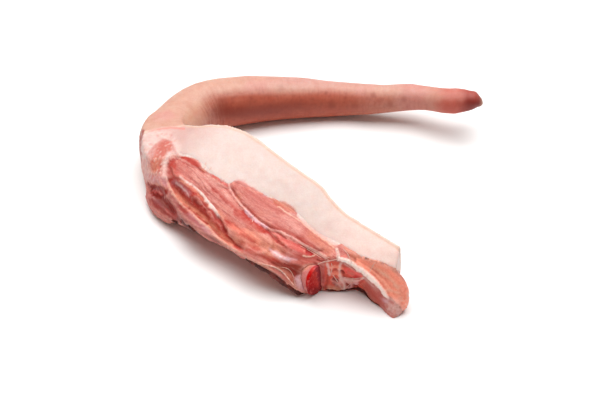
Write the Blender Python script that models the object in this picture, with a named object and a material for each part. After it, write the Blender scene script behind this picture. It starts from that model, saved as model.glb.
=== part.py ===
"""Raw pork tail, long cut: the tail itself, with the wedge of rump that it grows from.

It lies on one cut side, as it does on a butcher's slab. The rump runs forward and to the right,
the tail bends back from it and runs along +X, and its tip stands clear of the slab.

Three tissues show at the cuts, and each is its own solid:
  skin_and_fat  the whole tail in its skin, and the cap of back fat that runs the rump's length
  lean_meat     the muscle of the rump, with the tongue of meat that hangs past the fat
  vertebra      the drum of the tail bone whose sawn end shows in the lean

Every section of the piece is a ring in an upright plane across a curved spine. A place on it is
given by three sizes in millimetres: along the spine (0 where the tail leaves the rump, positive
towards the rump's cut end, negative towards the tip), across it (positive towards the skin of the
back), and up from the slab.
"""

import math

import bmesh
import bpy
import numpy as np

MM = 0.001

# ---- The spine, seen from above ------------------------------------------------------------
# From the rump's cut end, round the bend, to the tip of the tail. The middle of the whole
# footprint, FOOTPRINT_MIDDLE, becomes the origin.
SPINE = [
    (80.0, -121.8), (4.2, -56.4), (-56.4, -4.2), (-71.5, 8.9), (-82.0, 21.5), (-88.0, 36.0),
    (-88.4, 47.5), (-85.4, 56.5), (-81.4, 65.2), (-75.8, 75.0), (-69.3, 82.8), (-63.0, 87.2),
    (-55.0, 90.2), (-44.0, 92.6), (-27.5, 96.6), (0.0, 100.3), (27.6, 100.8), (48.4, 97.3),
    (69.0, 94.6), (83.0, 91.0), (93.0, 85.9), (102.5, 80.9), (112.5, 80.7), (123.5, 79.8),
]
FOOTPRINT_MIDDLE = (8.7, 5.0)
CUT_END_TO_JUNCTION = 221.0   # from the spine's first point to along = 0
STEPS_A_SPAN = 24             # finer steps between two points of the spine

# ---- Long lines of the rump: (along, across, up) ---------------------------------------------
SKIN_EDGE = [  # the cut edge of the skin, along the top of the back
    (-12, 13, 37), (-4, 16.5, 40), (7, 20, 43), (14, 23.5, 45), (22, 27.5, 46), (32, 31.5, 46),
    (41, 33, 46), (54, 32, 46), (71, 29.4, 45.5), (94, 26.4, 45), (111, 25, 44), (123, 20.5, 43),
    (140, 16.7, 41.5), (164, 16.4, 40), (180, 17, 38.5),
]
BACK = [  # the fullest line of the skin, lower down
    (-12, 18.5, 20), (14, 29, 22), (41, 38, 22), (71, 35, 21), (111, 30, 20), (140, 22, 19), (180, 21, 18),
]
HEEL = [  # where the skin's other cut edge lies on the slab
    (-12, 12, 0), (14, 21, 0), (41, 30, 0), (71, 28, 0), (111, 23, 0), (140, 17, 0), (180, 16, 0),
]
BORDER = [  # where the lean starts on the upper cut face
    (-12, -14.5, 35), (-4, -17, 31.5), (3, -18, 29.5), (8, -15, 32), (11.5, -9.5, 34.5), (16, -3.5, 36),
    (22, -0.5, 36.8), (30, -0.5, 37), (42, -2.5, 36), (51, -4, 35.3), (57, -4.6, 34.3), (60, -2, 34.6),
    (63, 0, 35), (77, 1.1, 35), (90, 4.2, 35), (108, 4.1, 34), (131, -0.2, 32),
    (147, 0.7, 32), (161, 1, 31), (173, 5.3, 30.5), (181, 7.6, 28), (189.5, 9.5, 22), (193.5, 10, 16),
]
CROWN = [  # the upper swell of the lean
    (-12, -17, 26), (3, -18.5, 24), (10, -20.5, 25), (17, -20.5, 27), (25, -19, 29), (36, -19, 29.5),
    (51, -19, 29.5), (77, -18, 30), (108, -18, 30), (120, -17, 29), (131, -14.5, 27.5), (138, -10, 29),
    (152, -3.5, 31), (158, -1, 29.5), (164, 1, 27), (170, 3, 23.5), (181, 5, 21), (189.5, 6.5, 17),
    (193.5, 8, 12),
]
FRONT = [  # the front of the lean above its lower edge, and past the bone the ridge over the hollow
    (-12, -17, 14), (3, -20.5, 12), (10, -25, 10), (17, -28.5, 10), (25, -30, 12), (36, -31, 16),
    (45, -32.5, 19.5), (54, -33, 22), (66, -33, 24), (84, -33.5, 25), (101, -33.5, 25), (110, -32.5, 24.5),
    (117, -30.5, 22), (125, -28.5, 18), (131, -26.5, 13.5), (137, -24, 11.5), (141, -15, 22),
    (147, -12.5, 27), (152, -8.5, 29), (157.5, -5, 27), (163, -3.2, 24), (170, -1.2, 18), (177, 0.7, 13),
    (188, 2.2, 10), (193.5, 4.5, 8),
]
LOW_EDGE = [  # its lower edge, which stands off the slab between the first muscle and the bone
    (-12, -15, 6), (3, -19.8, 4), (10, -24.8, 4), (17, -28, 4), (26, -30.5, 5), (35, -31.4, 8),
    (45, -33.6, 12), (55, -34.5, 15), (63, -34.4, 17), (72, -35, 18), (81, -35.2, 19), (98, -35.2, 19),
    (106, -34.7, 19), (114, -33, 17.5), (119, -31.8, 15), (125, -30, 12), (131, -27.6, 8), (137, -25, 6),
    (141, -14.5, 11), (147, -10.8, 13.5), (152, -6.5, 14.5), (157.5, -1.5, 13.5), (163, 0, 12),
    (167, -0.3, 10.5), (173, -0.6, 7.8), (177, -0.6, 6.5), (181, -1, 6), (188, 0.6, 5), (193.5, 4.2, 4),
]
TOE = [  # where it meets the slab
    (-12, -12, 0), (3, -17, 0), (10, -21.5, 0), (17, -24, 0), (26, -22.5, 0), (36, -18, 0),
    (47, -13.5, 0), (60, -11, 0), (84, -10.5, 0), (105, -11, 0), (114, -12.5, 0), (123, -16, 0),
    (131, -19, 0), (137, -20.5, 0), (141, -14, 0), (147, -9, 0), (152, -4.5, 0), (157, 2, 0),
    (163, 3.5, 0), (167, 1, 0), (173, 0, 0), (177, -2, 0), (181, -2.8, 0), (186, -2, 0), (190, 0, 0),
    (193.5, 4, 0),
]
INNER_FOOT = [  # the fat's border with the lean, down on the slab
    (-12, -6, 0), (14, 0, 0), (41, 4, 0), (94, 4, 0), (125, 2, 0), (140, 6, 0), (180, 9, 0), (193, 9, 0),
]
INNER_SWELL = 3.5      # how far that border bows towards the skin, half way down
END_SKEW = 0.45        # the last cut runs askew: this much along for each millimetre across
END_SKEW_FROM, END_SKEW_DONE, END_SKEW_HINGE = 150.0, 196.0, 17.0

# ---- The tail: (along, value) ----------------------------------------------------------------
TAIL_RADIUS = [
    (0, 18.5), (-25, 17.6), (-50, 17.2), (-75, 17.0), (-100, 16.4), (-112, 15.5), (-125, 14.7),
    (-139, 13.9), (-153, 12.6), (-163, 11.8), (-177, 10.9), (-185, 10.5), (-194, 9.8), (-203, 9.6),
    (-212, 9.2), (-219, 8.5), (-226, 8.3), (-233, 8.5), (-241, 9.0), (-246, 8.7), (-251, 7.6),
    (-256, 6.2), (-260, 4.7), (-262.4, 3.2), (-263.6, 1.6),
]
TAIL_LIFT = [  # of its underside above the slab
    (0, 0), (-150, 0), (-160, 0.6), (-167, 1.4), (-177, 3.0), (-185, 4.5), (-194, 6.3), (-203, 8.4),
    (-212, 10.6), (-226, 13.8), (-241, 16.4), (-251, 18.6), (-264, 22.0),
]
TAIL_STARTS, TAIL_WHOLE = -10.0, -42.0   # between these the rump's section turns into the tail's
TIP = -263.6
TAIL_CORNERS = [62, 125, 255, 298, 422]  # degrees round the tail where the rump's four lines arrive

# ---- The tail bone ---------------------------------------------------------------------------
BONE_FROM, BONE_TO = 121.0, 142.5
BONE_ACROSS, BONE_UP, BONE_RADIUS = (-10.5, -14.5), (12.5, 11.4), (7.6, 10.7)   # hidden end, sawn end
BONE_WAIST = 0.5       # how much narrower half way along
BONE_SIDES = 28

GAP = 0.4              # between solids that touch
LEAN_FROM = 3.0        # where the lean's rounded start meets the root of the tail
CUT_END, TONGUE_END = 180.0, 193.5
TONGUE_ROUNDS_OVER, TONGUE_TIP_SHARE = 6.0, 0.5   # the tongue's end is drawn in to this share
TONGUE_MIDDLE = (5.0, 8.0)
FACE_SWELL = 0.6       # how far the cut face of the fat stands proud half way across
RING_PARTS = {"face": 8, "lean": 24, "sole": 8, "back": 9}    # sides of each part of a section
SIDES_UNDER_THE_LEAN = 4   # of its 24, from the lower edge in to the slab
FINE_STEPS = 240           # along the lean's outline before its sides are set
BORDER_SIDES, LEAN_SOLE_SIDES = 5, 4
RUMP_STEP, TAIL_STEP, LEAN_STEP, BONE_STEP = 4.0, 6.5, 2.8, 3.0     # from one section to the next
# The space for the lean runs this far past it: above, below, out in front and off the tongue.
ROOM_ABOVE, ROOM_BELOW, ROOM_FRONT, ROOM_PAST_TONGUE = 20.0, 10.0, -60.0, 20.0

# ---- Colours, as linear red, green and blue, and roughness --------------------------------------
SKIN_COLOUR, SKIN_ROUGHNESS = (0.80, 0.55, 0.47), 0.45
LEAN_COLOUR, LEAN_ROUGHNESS = (0.62, 0.16, 0.12), 0.35
BONE_COLOUR, BONE_ROUGHNESS = (0.45, 0.06, 0.05), 0.4


# ---- Relief of the lean's outer face ---------------------------------------------------------
# Each is a ridge, or a groove where its height is negative. A point is (along, girth), and girth
# runs from 0 at the fat, through 0.83 at the lower edge, to 1 at the slab.
LEAN_GIRTH = 72.0      # the outer face's mean length from the fat to the slab
FADES_AT_FAT, FADES_AT_SLAB = 0.06, 0.1       # shares of the girth over which relief fades
RELIEF = [  # name, height, half width, route
    ("groove round the start of the first muscle", -1.6, 4.5,
     [(20, 0.3), (16, 0.2), (15.5, 0.12), (18, 0.07)]),
    ("groove along its upper edge", -1.0, 4.5, [(28, 0.14), (38, 0.09), (49, 0.07), (59, 0.09)]),
    ("seam between the two muscles", -1.3, 4.5,
     [(62, 0.09), (70, 0.2), (87, 0.34), (104, 0.36), (123, 0.26), (140, 0.26)]),
    ("membrane rim at the left", 1.2, 4.0, [(19, 0.39), (16, 0.27), (13, 0.12), (12, 0.04)]),
    ("tendon under the first muscle", 1.8, 4.5, [(28, 0.29), (38, 0.32), (52, 0.38), (58, 0.43), (68, 0.57)]),
    ("valley below the tendon", -3.0, 6.5,
     [(24, 0.38), (36, 0.46), (54, 0.52), (66, 0.62), (80, 0.69), (95, 0.7)]),
    ("round muscle in the valley", 1.6, 4.5, [(39, 0.44), (48, 0.46)]),
    ("edge of the sheath", 1.8, 5.0,
     [(20, 0.41), (28, 0.54), (38, 0.62), (55, 0.68), (66, 0.77), (74, 0.85), (95, 0.88)]),
    ("hollow at the left end", -2.6, 7.0, [(10, 0.55), (20, 0.62), (30, 0.66), (42, 0.76)]),
    ("lumps along the slab", 1.6, 4.5, [(10, 0.82), (20, 0.86), (30, 0.88)]),
    ("ragged lip", 1.4, 4.5, [(96, 0.87), (104, 0.86), (112, 0.79), (126, 0.76), (132, 0.84)]),
    ("groove of the cut vein", -1.4, 4.5, [(104, 0.4), (112, 0.42), (120, 0.37), (132, 0.3)]),
    ("hollow above the bone", -1.6, 6.0, [(104, 0.6), (112, 0.57), (120, 0.5)]),
]


def along_line(line, s):
    """A long line's values at s: a smooth curve through its points that never overshoots them."""
    points = np.array(sorted(line), float)
    keys = points[:, 0]
    s = min(max(s, keys[0]), keys[-1])
    i = min(int(np.searchsorted(keys, s, side="right")) - 1, len(keys) - 2)
    steps = np.diff(keys)[:, None]
    slopes = np.diff(points[:, 1:], axis=0) / steps
    inner = slopes[:-1] * slopes[1:]
    mean = np.where(inner > 0, 2 * inner / np.where(inner > 0, slopes[:-1] + slopes[1:], 1), 0)
    ends = np.vstack([slopes[:1], mean, slopes[-1:]])
    t = (s - keys[i]) / steps[i, 0]
    h = steps[i, 0]
    start, end = points[i, 1:], points[i + 1, 1:]
    return (
        start * (1 + 2 * t) * (1 - t) ** 2
        + h * ends[i] * t * (1 - t) ** 2
        + end * t * t * (3 - 2 * t)
        + h * ends[i + 1] * t * t * (t - 1)
    )


def smooth_step(low, high, x):
    t = min(max((x - low) / (high - low), 0.0), 1.0)
    return t * t * (3 - 2 * t)


def curve_through(points, count):
    """count + 1 points, evenly spread on a smooth curve through the given ones."""
    p = np.array([points[0], *points, points[-1]], float)
    dense = []
    for i in range(1, len(p) - 2):
        for t in np.arange(0, 1, 1 / STEPS_A_SPAN):
            a, b, c, d = p[i - 1], p[i], p[i + 1], p[i + 2]
            dense.append(0.5 * (2 * b + (c - a) * t + (2 * a - 5 * b + 4 * c - d) * t * t
                                + (3 * b - a - 3 * c + d) * t ** 3))
    dense = np.array([*dense, p[-1]])
    run = np.concatenate([[0], np.cumsum(np.linalg.norm(np.diff(dense, axis=0), axis=1))])
    even = np.linspace(0, run[-1], count + 1)
    return np.stack([np.interp(even, run, dense[:, k]) for k in range(dense.shape[1])], axis=1)


SPINE_DENSE = curve_through(SPINE, 900)
SPINE_RUN = CUT_END_TO_JUNCTION - np.concatenate(
    [[0], np.cumsum(np.linalg.norm(np.diff(SPINE_DENSE, axis=0), axis=1))]
)


def spine_at(s):
    """The spine's place and its direction towards the cut end, seen from above."""
    order = slice(None, None, -1)

    def place(x):
        return np.array([np.interp(x, SPINE_RUN[order], SPINE_DENSE[order, k]) for k in (0, 1)])

    ahead = place(s + 3) - place(s - 3)
    return place(s) - np.array(FOOTPRINT_MIDDLE), ahead / np.linalg.norm(ahead)


def to_world(s, across, up):
    """A place on the piece, in metres."""
    place, ahead = spine_at(s)
    side = np.array([-ahead[1], ahead[0]])
    share = smooth_step(END_SKEW_FROM, CUT_END, s) - smooth_step(CUT_END, END_SKEW_DONE, s)
    skew = -END_SKEW * (across - END_SKEW_HINGE) * share
    x, y = place + ahead * skew + side * across
    return (x * MM, y * MM, up * MM)


def tail_ring(s):
    """The tail's round section, with its points where the rump's lines arrive."""
    radius = along_line(TAIL_RADIUS, s)[0]
    middle = radius + along_line(TAIL_LIFT, s)[0]
    corners = np.radians(TAIL_CORNERS)
    angles = np.concatenate([
        np.linspace(a, b, n, endpoint=False)
        for a, b, n in zip(corners, corners[1:], RING_PARTS.values())
    ])
    return np.stack([radius * np.cos(angles), middle + radius * np.sin(angles)], axis=1)


def rump_ring(s):
    """The rump's section: down the fat's cut face, round the lean, along the sole, up the skin."""
    edge, back, heel, border, crown, front, low, toe = (
        along_line(line, s) for line in (SKIN_EDGE, BACK, HEEL, BORDER, CROWN, FRONT, LOW_EDGE, TOE)
    )
    lean = curve_through([border, crown, front, low, toe], FINE_STEPS)
    parts = [
        curve_through([edge, (edge + border) / 2 + (0, FACE_SWELL), border], RING_PARTS["face"]),
        with_relief(sides_about(lean, low), s),
        curve_through([toe, heel], RING_PARTS["sole"]),
        curve_through([heel, back, edge], RING_PARTS["back"]),
    ]
    return np.concatenate([part[:-1] for part in parts])


def sides_about(fine, low):
    """The lean's sides: most of them down to its lower edge, the rest from there in to the slab."""
    turn = np.linalg.norm(fine - low, axis=1).argmin()
    above = np.linspace(0, turn, RING_PARTS["lean"] - SIDES_UNDER_THE_LEAN + 1)
    under = np.linspace(turn, FINE_STEPS, SIDES_UNDER_THE_LEAN + 1)
    places = np.concatenate([above, under[1:]])
    return np.stack([np.interp(places, range(FINE_STEPS + 1), fine[:, k]) for k in (0, 1)], axis=1)


def relief_at(s, girth):
    """How far the lean's outer face stands out there. It fades at the fat and at the slab."""
    here = np.array([s, girth * LEAN_GIRTH])
    total = 0.0
    for _, height, half_width, route in RELIEF:
        points = np.array(route) * (1, LEAN_GIRTH)
        starts, runs = points[:-1], np.diff(points, axis=0)
        share = np.clip(((here - starts) * runs).sum(1) / (runs * runs).sum(1), 0, 1)
        distance = np.linalg.norm(here - starts - runs * share[:, None], axis=1).min()
        if distance < half_width:
            total += height * (0.5 + 0.5 * math.cos(math.pi * distance / half_width))
    return total * smooth_step(0, FADES_AT_FAT, girth) * smooth_step(0, FADES_AT_SLAB, 1 - girth)


def with_relief(lean, s):
    """Moves a run of section points out, square to the section's line, by the relief there."""
    run = np.gradient(lean, axis=0)
    out = np.stack([-run[:, 1], run[:, 0]], axis=1) / np.linalg.norm(run, axis=1)[:, None]
    out *= np.sign(-out[len(out) // 2, 0])
    heights = [relief_at(s, girth) for girth in np.linspace(0, 1, len(lean))]
    return lean + out * np.array(heights)[:, None]


def whole_ring(s):
    """The piece's outer section anywhere along the spine."""
    if s <= TAIL_WHOLE:
        return tail_ring(s)
    if s >= TAIL_STARTS:
        return rump_ring(s)
    share = smooth_step(TAIL_WHOLE, TAIL_STARTS, s)
    return share * rump_ring(s) + (1 - share) * tail_ring(s)


def inner_border(s):
    """The fat's border with the lean, from the upper face down to the slab."""
    border, foot = along_line(BORDER, s), along_line(INNER_FOOT, s)
    swell = (border + foot) / 2 + (INNER_SWELL, 0)
    return curve_through([border, swell, foot], BORDER_SIDES)


def fat_side_of_border(s):
    """The same border on the fat's side of the gap, which is measured square to the border."""
    slant = (inner_border(s + 1) - inner_border(s - 1))[:, :1] / 2
    return inner_border(s) + GAP * np.sqrt(1 + slant * slant) * (1, 0)


def lean_ring(s):
    """The lean's own section: its outer face, its sole, and up against the fat."""
    first = RING_PARTS["face"]
    last = first + RING_PARTS["lean"]
    outer = whole_ring(s)[first:last + 1]
    inner = inner_border(s)[::-1]
    sole = curve_through([outer[-1], inner[0]], LEAN_SOLE_SIDES)
    ring = np.concatenate([outer, sole[1:-1], inner[:-1]])
    done = max(0.0, (s - TONGUE_END + TONGUE_ROUNDS_OVER) / TONGUE_ROUNDS_OVER)
    share = TONGUE_TIP_SHARE + (1 - TONGUE_TIP_SHARE) * math.sqrt(1 - done * done)
    return TONGUE_MIDDLE + (ring - TONGUE_MIDDLE) * share if done else ring


def room_ring(s):
    """A section of the space that the lean takes, past every outer face."""
    inner = fat_side_of_border(s)
    above, below = inner[0] + (0, ROOM_ABOVE), inner[-1] - (0, ROOM_BELOW)
    return np.array([above, *inner, below, (ROOM_FRONT, below[1]), (ROOM_FRONT, above[1])])


def loft(name, stations, ring_of):
    """A closed body: the first ring is drawn as a circle and set to its section, and each next
    ring is extruded from the one before."""
    mesh = bpy.data.meshes.new(name)
    bm = bmesh.new()
    sections = [[to_world(s, *point) for point in ring_of(s)] for s in stations]
    ring = bmesh.ops.create_circle(bm, cap_ends=False, segments=len(sections[0]), radius=MM)["verts"]
    for vert, point in zip(ring, sections[0]):
        vert.co = point
    start = list(ring)
    edges = list(bm.edges)
    for section in sections[1:]:
        made = bmesh.ops.extrude_edge_only(bm, edges=edges)["geom"]
        fresh = {v for v in made if isinstance(v, bmesh.types.BMVert)}
        following = []
        for vert in ring:
            nearest = next(e.other_vert(vert) for e in vert.link_edges if e.other_vert(vert) in fresh)
            following.append(nearest)
        for vert, point in zip(following, section):
            vert.co = point
        edges = [e for e in made if isinstance(e, bmesh.types.BMEdge)
                 and e.verts[0] in fresh and e.verts[1] in fresh]
        ring = following
    for loop in (start, ring):
        bm.faces.new(loop)
    bmesh.ops.recalc_face_normals(bm, faces=bm.faces)
    bm.to_mesh(mesh)
    bm.free()
    return bpy.data.objects.new(name, mesh)


def material(name, colour, roughness):
    made = bpy.data.materials.new(name)
    made.use_nodes = True
    shader = made.node_tree.nodes["Principled BSDF"]
    shader.inputs["Base Color"].default_value = (*colour, 1)
    shader.inputs["Roughness"].default_value = roughness
    shader.inputs["Metallic"].default_value = 0.0
    return made


def spaced(start, end, step):
    return np.linspace(start, end, max(2, round(abs(end - start) / step) + 1))


def lean_stations():
    return spaced(LEAN_FROM, TONGUE_END, LEAN_STEP)


def cut(body, cutter):
    """Takes the cutter's shape out of the body. The cutter stays as a hidden guide."""
    cutter.hide_render = True
    cutter.display_type = "WIRE"
    modifier = body.modifiers.new("cut_by_" + cutter.name, "BOOLEAN")
    modifier.operation = "DIFFERENCE"
    modifier.solver = "EXACT"
    modifier.object = cutter


def make_skin_and_fat(parts, cutters):
    stations = [*spaced(CUT_END, TAIL_WHOLE, RUMP_STEP), *spaced(TAIL_WHOLE, TIP, TAIL_STEP)[1:]]
    body = loft("skin_and_fat", stations, whole_ring)
    room_stations = [LEAN_FROM - GAP, *lean_stations()[1:], TONGUE_END + ROOM_PAST_TONGUE]
    room = loft("room_for_lean", room_stations, room_ring)
    parts.objects.link(body)
    cutters.objects.link(room)
    cut(body, room)
    body.data.materials.append(material("pork skin and back fat", SKIN_COLOUR, SKIN_ROUGHNESS))


def make_lean(parts):
    body = loft("lean_meat", lean_stations(), lean_ring)
    parts.objects.link(body)
    body.data.materials.append(material("raw lean pork", LEAN_COLOUR, LEAN_ROUGHNESS))
    return body


def bone_shape(name, grow):
    """A drum with a slight waist. It widens towards the sawn end, and lies a little askew."""
    stations = spaced(BONE_FROM - grow, BONE_TO + grow, BONE_STEP)

    def ring_of(s):
        share = min(max((s - BONE_FROM) / (BONE_TO - BONE_FROM), 0), 1)
        across, up, radius = (a + (b - a) * share for a, b in (BONE_ACROSS, BONE_UP, BONE_RADIUS))
        radius += grow - BONE_WAIST * math.sin(math.pi * share)
        angles = np.linspace(0, 2 * math.pi, BONE_SIDES, endpoint=False)
        return np.stack([across + radius * np.cos(angles), up + radius * np.sin(angles)], axis=1)

    return loft(name, stations, ring_of)


def make_vertebra(parts, cutters, lean):
    bone = bone_shape("vertebra", 0.0)
    socket = bone_shape("room_for_bone", GAP)
    parts.objects.link(bone)
    cutters.objects.link(socket)
    cut(lean, socket)
    bone.data.materials.append(material("sawn bone and marrow", BONE_COLOUR, BONE_ROUGHNESS))


def main():
    for old in list(bpy.data.objects):
        bpy.data.objects.remove(old, do_unlink=True)
    parts = bpy.data.collections.new("pork_tail")
    cutters = bpy.data.collections.new("cutters")
    for group in (parts, cutters):
        bpy.context.scene.collection.children.link(group)
    make_skin_and_fat(parts, cutters)
    lean = make_lean(parts)
    make_vertebra(parts, cutters, lean)


main()
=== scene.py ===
"""The looks of a raw pork tail, long cut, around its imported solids.

The sections follow the piece as it lies on the slab: the view, the lean of the rump, the skin with
the back fat under it, the sawn tail bone, the loose shreds, and the slab with its light.
A feature that was placed from the photograph is a named route or outline in its 600 x 414 frame.
A pair of numbers named for a colour or a relief says from where to where that comes in, and if its
name ends in X or Y it is in that frame's pixels, across or down.
"""

import math

import bmesh
import bpy
import numpy as np
from mathutils import Matrix, Vector, kdtree, noise
from mathutils.bvhtree import BVHTree


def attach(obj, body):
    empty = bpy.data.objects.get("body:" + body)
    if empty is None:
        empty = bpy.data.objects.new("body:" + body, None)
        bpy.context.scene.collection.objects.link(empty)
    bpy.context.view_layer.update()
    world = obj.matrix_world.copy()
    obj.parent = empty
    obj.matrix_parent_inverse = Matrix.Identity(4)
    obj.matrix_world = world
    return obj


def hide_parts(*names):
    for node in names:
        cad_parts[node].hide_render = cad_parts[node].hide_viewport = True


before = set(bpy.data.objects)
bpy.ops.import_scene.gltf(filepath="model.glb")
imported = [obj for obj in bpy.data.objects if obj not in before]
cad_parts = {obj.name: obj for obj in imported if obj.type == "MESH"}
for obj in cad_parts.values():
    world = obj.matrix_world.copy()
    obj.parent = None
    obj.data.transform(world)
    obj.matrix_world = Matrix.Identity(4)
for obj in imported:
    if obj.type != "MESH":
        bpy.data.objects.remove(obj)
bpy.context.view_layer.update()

# ==== The view ====================================================================================
# A camera on a stand, in front of the slab and 40 degrees up, with a long lens. Its place also
# tells where any point of the piece stands in the photograph.
AIM, AIM_PIXEL = Vector((-0.0087, -0.0050, 0.0)), (300, 207)
DISTANCE, ELEVATION = 1.08, math.radians(40)
LENS_MM, SENSOR_MM, PHOTO_WIDTH = 100.0, 36.0, 600
NEAREST_SEEN, FARTHEST_SEEN = 0.05, 20.0
MM = 0.001

camera_data = bpy.data.cameras.new("studio_camera")
camera_data.lens, camera_data.sensor_width = LENS_MM, SENSOR_MM
camera_data.clip_start, camera_data.clip_end = NEAREST_SEEN, FARTHEST_SEEN
camera = bpy.data.objects.new("studio_camera", camera_data)
camera.location = AIM + DISTANCE * Vector((0, -math.cos(ELEVATION), math.sin(ELEVATION)))
camera.rotation_euler = (math.pi / 2 - ELEVATION, 0, 0)
bpy.context.scene.collection.objects.link(camera)
bpy.context.scene.camera = camera

LOOK_ALONG = np.array((0, math.cos(ELEVATION), -math.sin(ELEVATION)))
LOOK_UP = np.array((0, math.sin(ELEVATION), math.cos(ELEVATION)))


def photo_pixel(points):
    """Where points of the piece, in metres, stand in the photograph's 600 x 414 frame."""
    away = points - np.array(camera.location)
    size = LENS_MM / SENSOR_MM * PHOTO_WIDTH / (away @ LOOK_ALONG)
    return np.stack([AIM_PIXEL[0] + away[:, 0] * size, AIM_PIXEL[1] - away @ LOOK_UP * size], axis=1)


# ==== The lean of the rump =========================================================================
# Raw muscle in long bundles, each in its own thin membrane, trimmed off the back by hand. Tendons and
# fasciae show white, cream and lilac, and the trimmed edges hang in lips and lumps down to the slab.
LEAN_VOXEL, LEAN_SMOOTHING = 0.58, 4
GUIDE_VOXEL, GUIDE_SMOOTHING, GUIDE_GROWTH = 0.8, 5, 0.3   # the lean and the fat as one body
NEAR_SEAM, SEAM_FADES, SEAM_WHOLE = 10.0, 4.0, 2.0         # distances from the other piece
RIM_OVER, RIM_DIP, RIM_WIDTH = 1.1, 0.3, (1.6, 0.6)        # how a rim goes into the other piece and down
SHALLOW = (2.0, 1.0)                                       # depth under the outer face that counts as on it
FAT_COLOUR, ROSY_FAT_COLOUR, ROSY_FAT_SHARE, FAT_ROUGHNESS = "DAC5BE", "D9BCB5", 0.3, 0.5
SEAM_COLOUR, FIBRE_COLOUR = "AE4138", "E39A8F"
PAINTED_CREASE_SHADE_COLOUR, PAINTED_CREST_LIGHT_COLOUR = "94261D", "F0B4A6"           # painted shade in the creases, painted light on the crests

TISSUE = {  # colour, how much muscle grain shows in it, and roughness
    "muscle": ("C67A72", 1.0, 0.4),
    "pale muscle": ("D99990", 1.0, 0.4),
    "red muscle": ("B4372C", 0.8, 0.36),
    "glossy red": ("EE5A52", 0.1, 0.3),
    "bright red": ("D24E48", 0.6, 0.32),
    "dark red": ("90241D", 0.5, 0.34),
    # near black red: painted shade for the deepest gaps and the underside
    "gap": ("4A0F0A", 0.3, 0.45),
    "shaded flesh": ("8A3226", 0.6, 0.42),
    "orange": ("D4866C", 0.6, 0.4),
    "warm flesh": ("FF9A82", 0.6, 0.4),
    "rosy": ("DC7A6E", 0.6, 0.4),
    "cream": ("E6C4AE", 0.15, 0.36),
    "white": ("F0DAD2", 0.1, 0.34),
    "bright film": ("FFE8E0", 0.1, 0.32),
    "lilac": ("BE848B", 0.15, 0.28),
    "deep lilac": ("88403F", 0.2, 0.3),
    "pink line": ("DFA9A0", 0.2, 0.34),
    "blood": ("B80A0E", 0.2, 0.28),
    "spongy": ("DA5644", 0.1, 0.34),
    "marrow": ("C43A34", 0.1, 0.3),
    "pale lilac": ("E6BFC9", 0.1, 0.3),
    "patch red": ("C86A5C", 0.4, 0.42),
}
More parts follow.
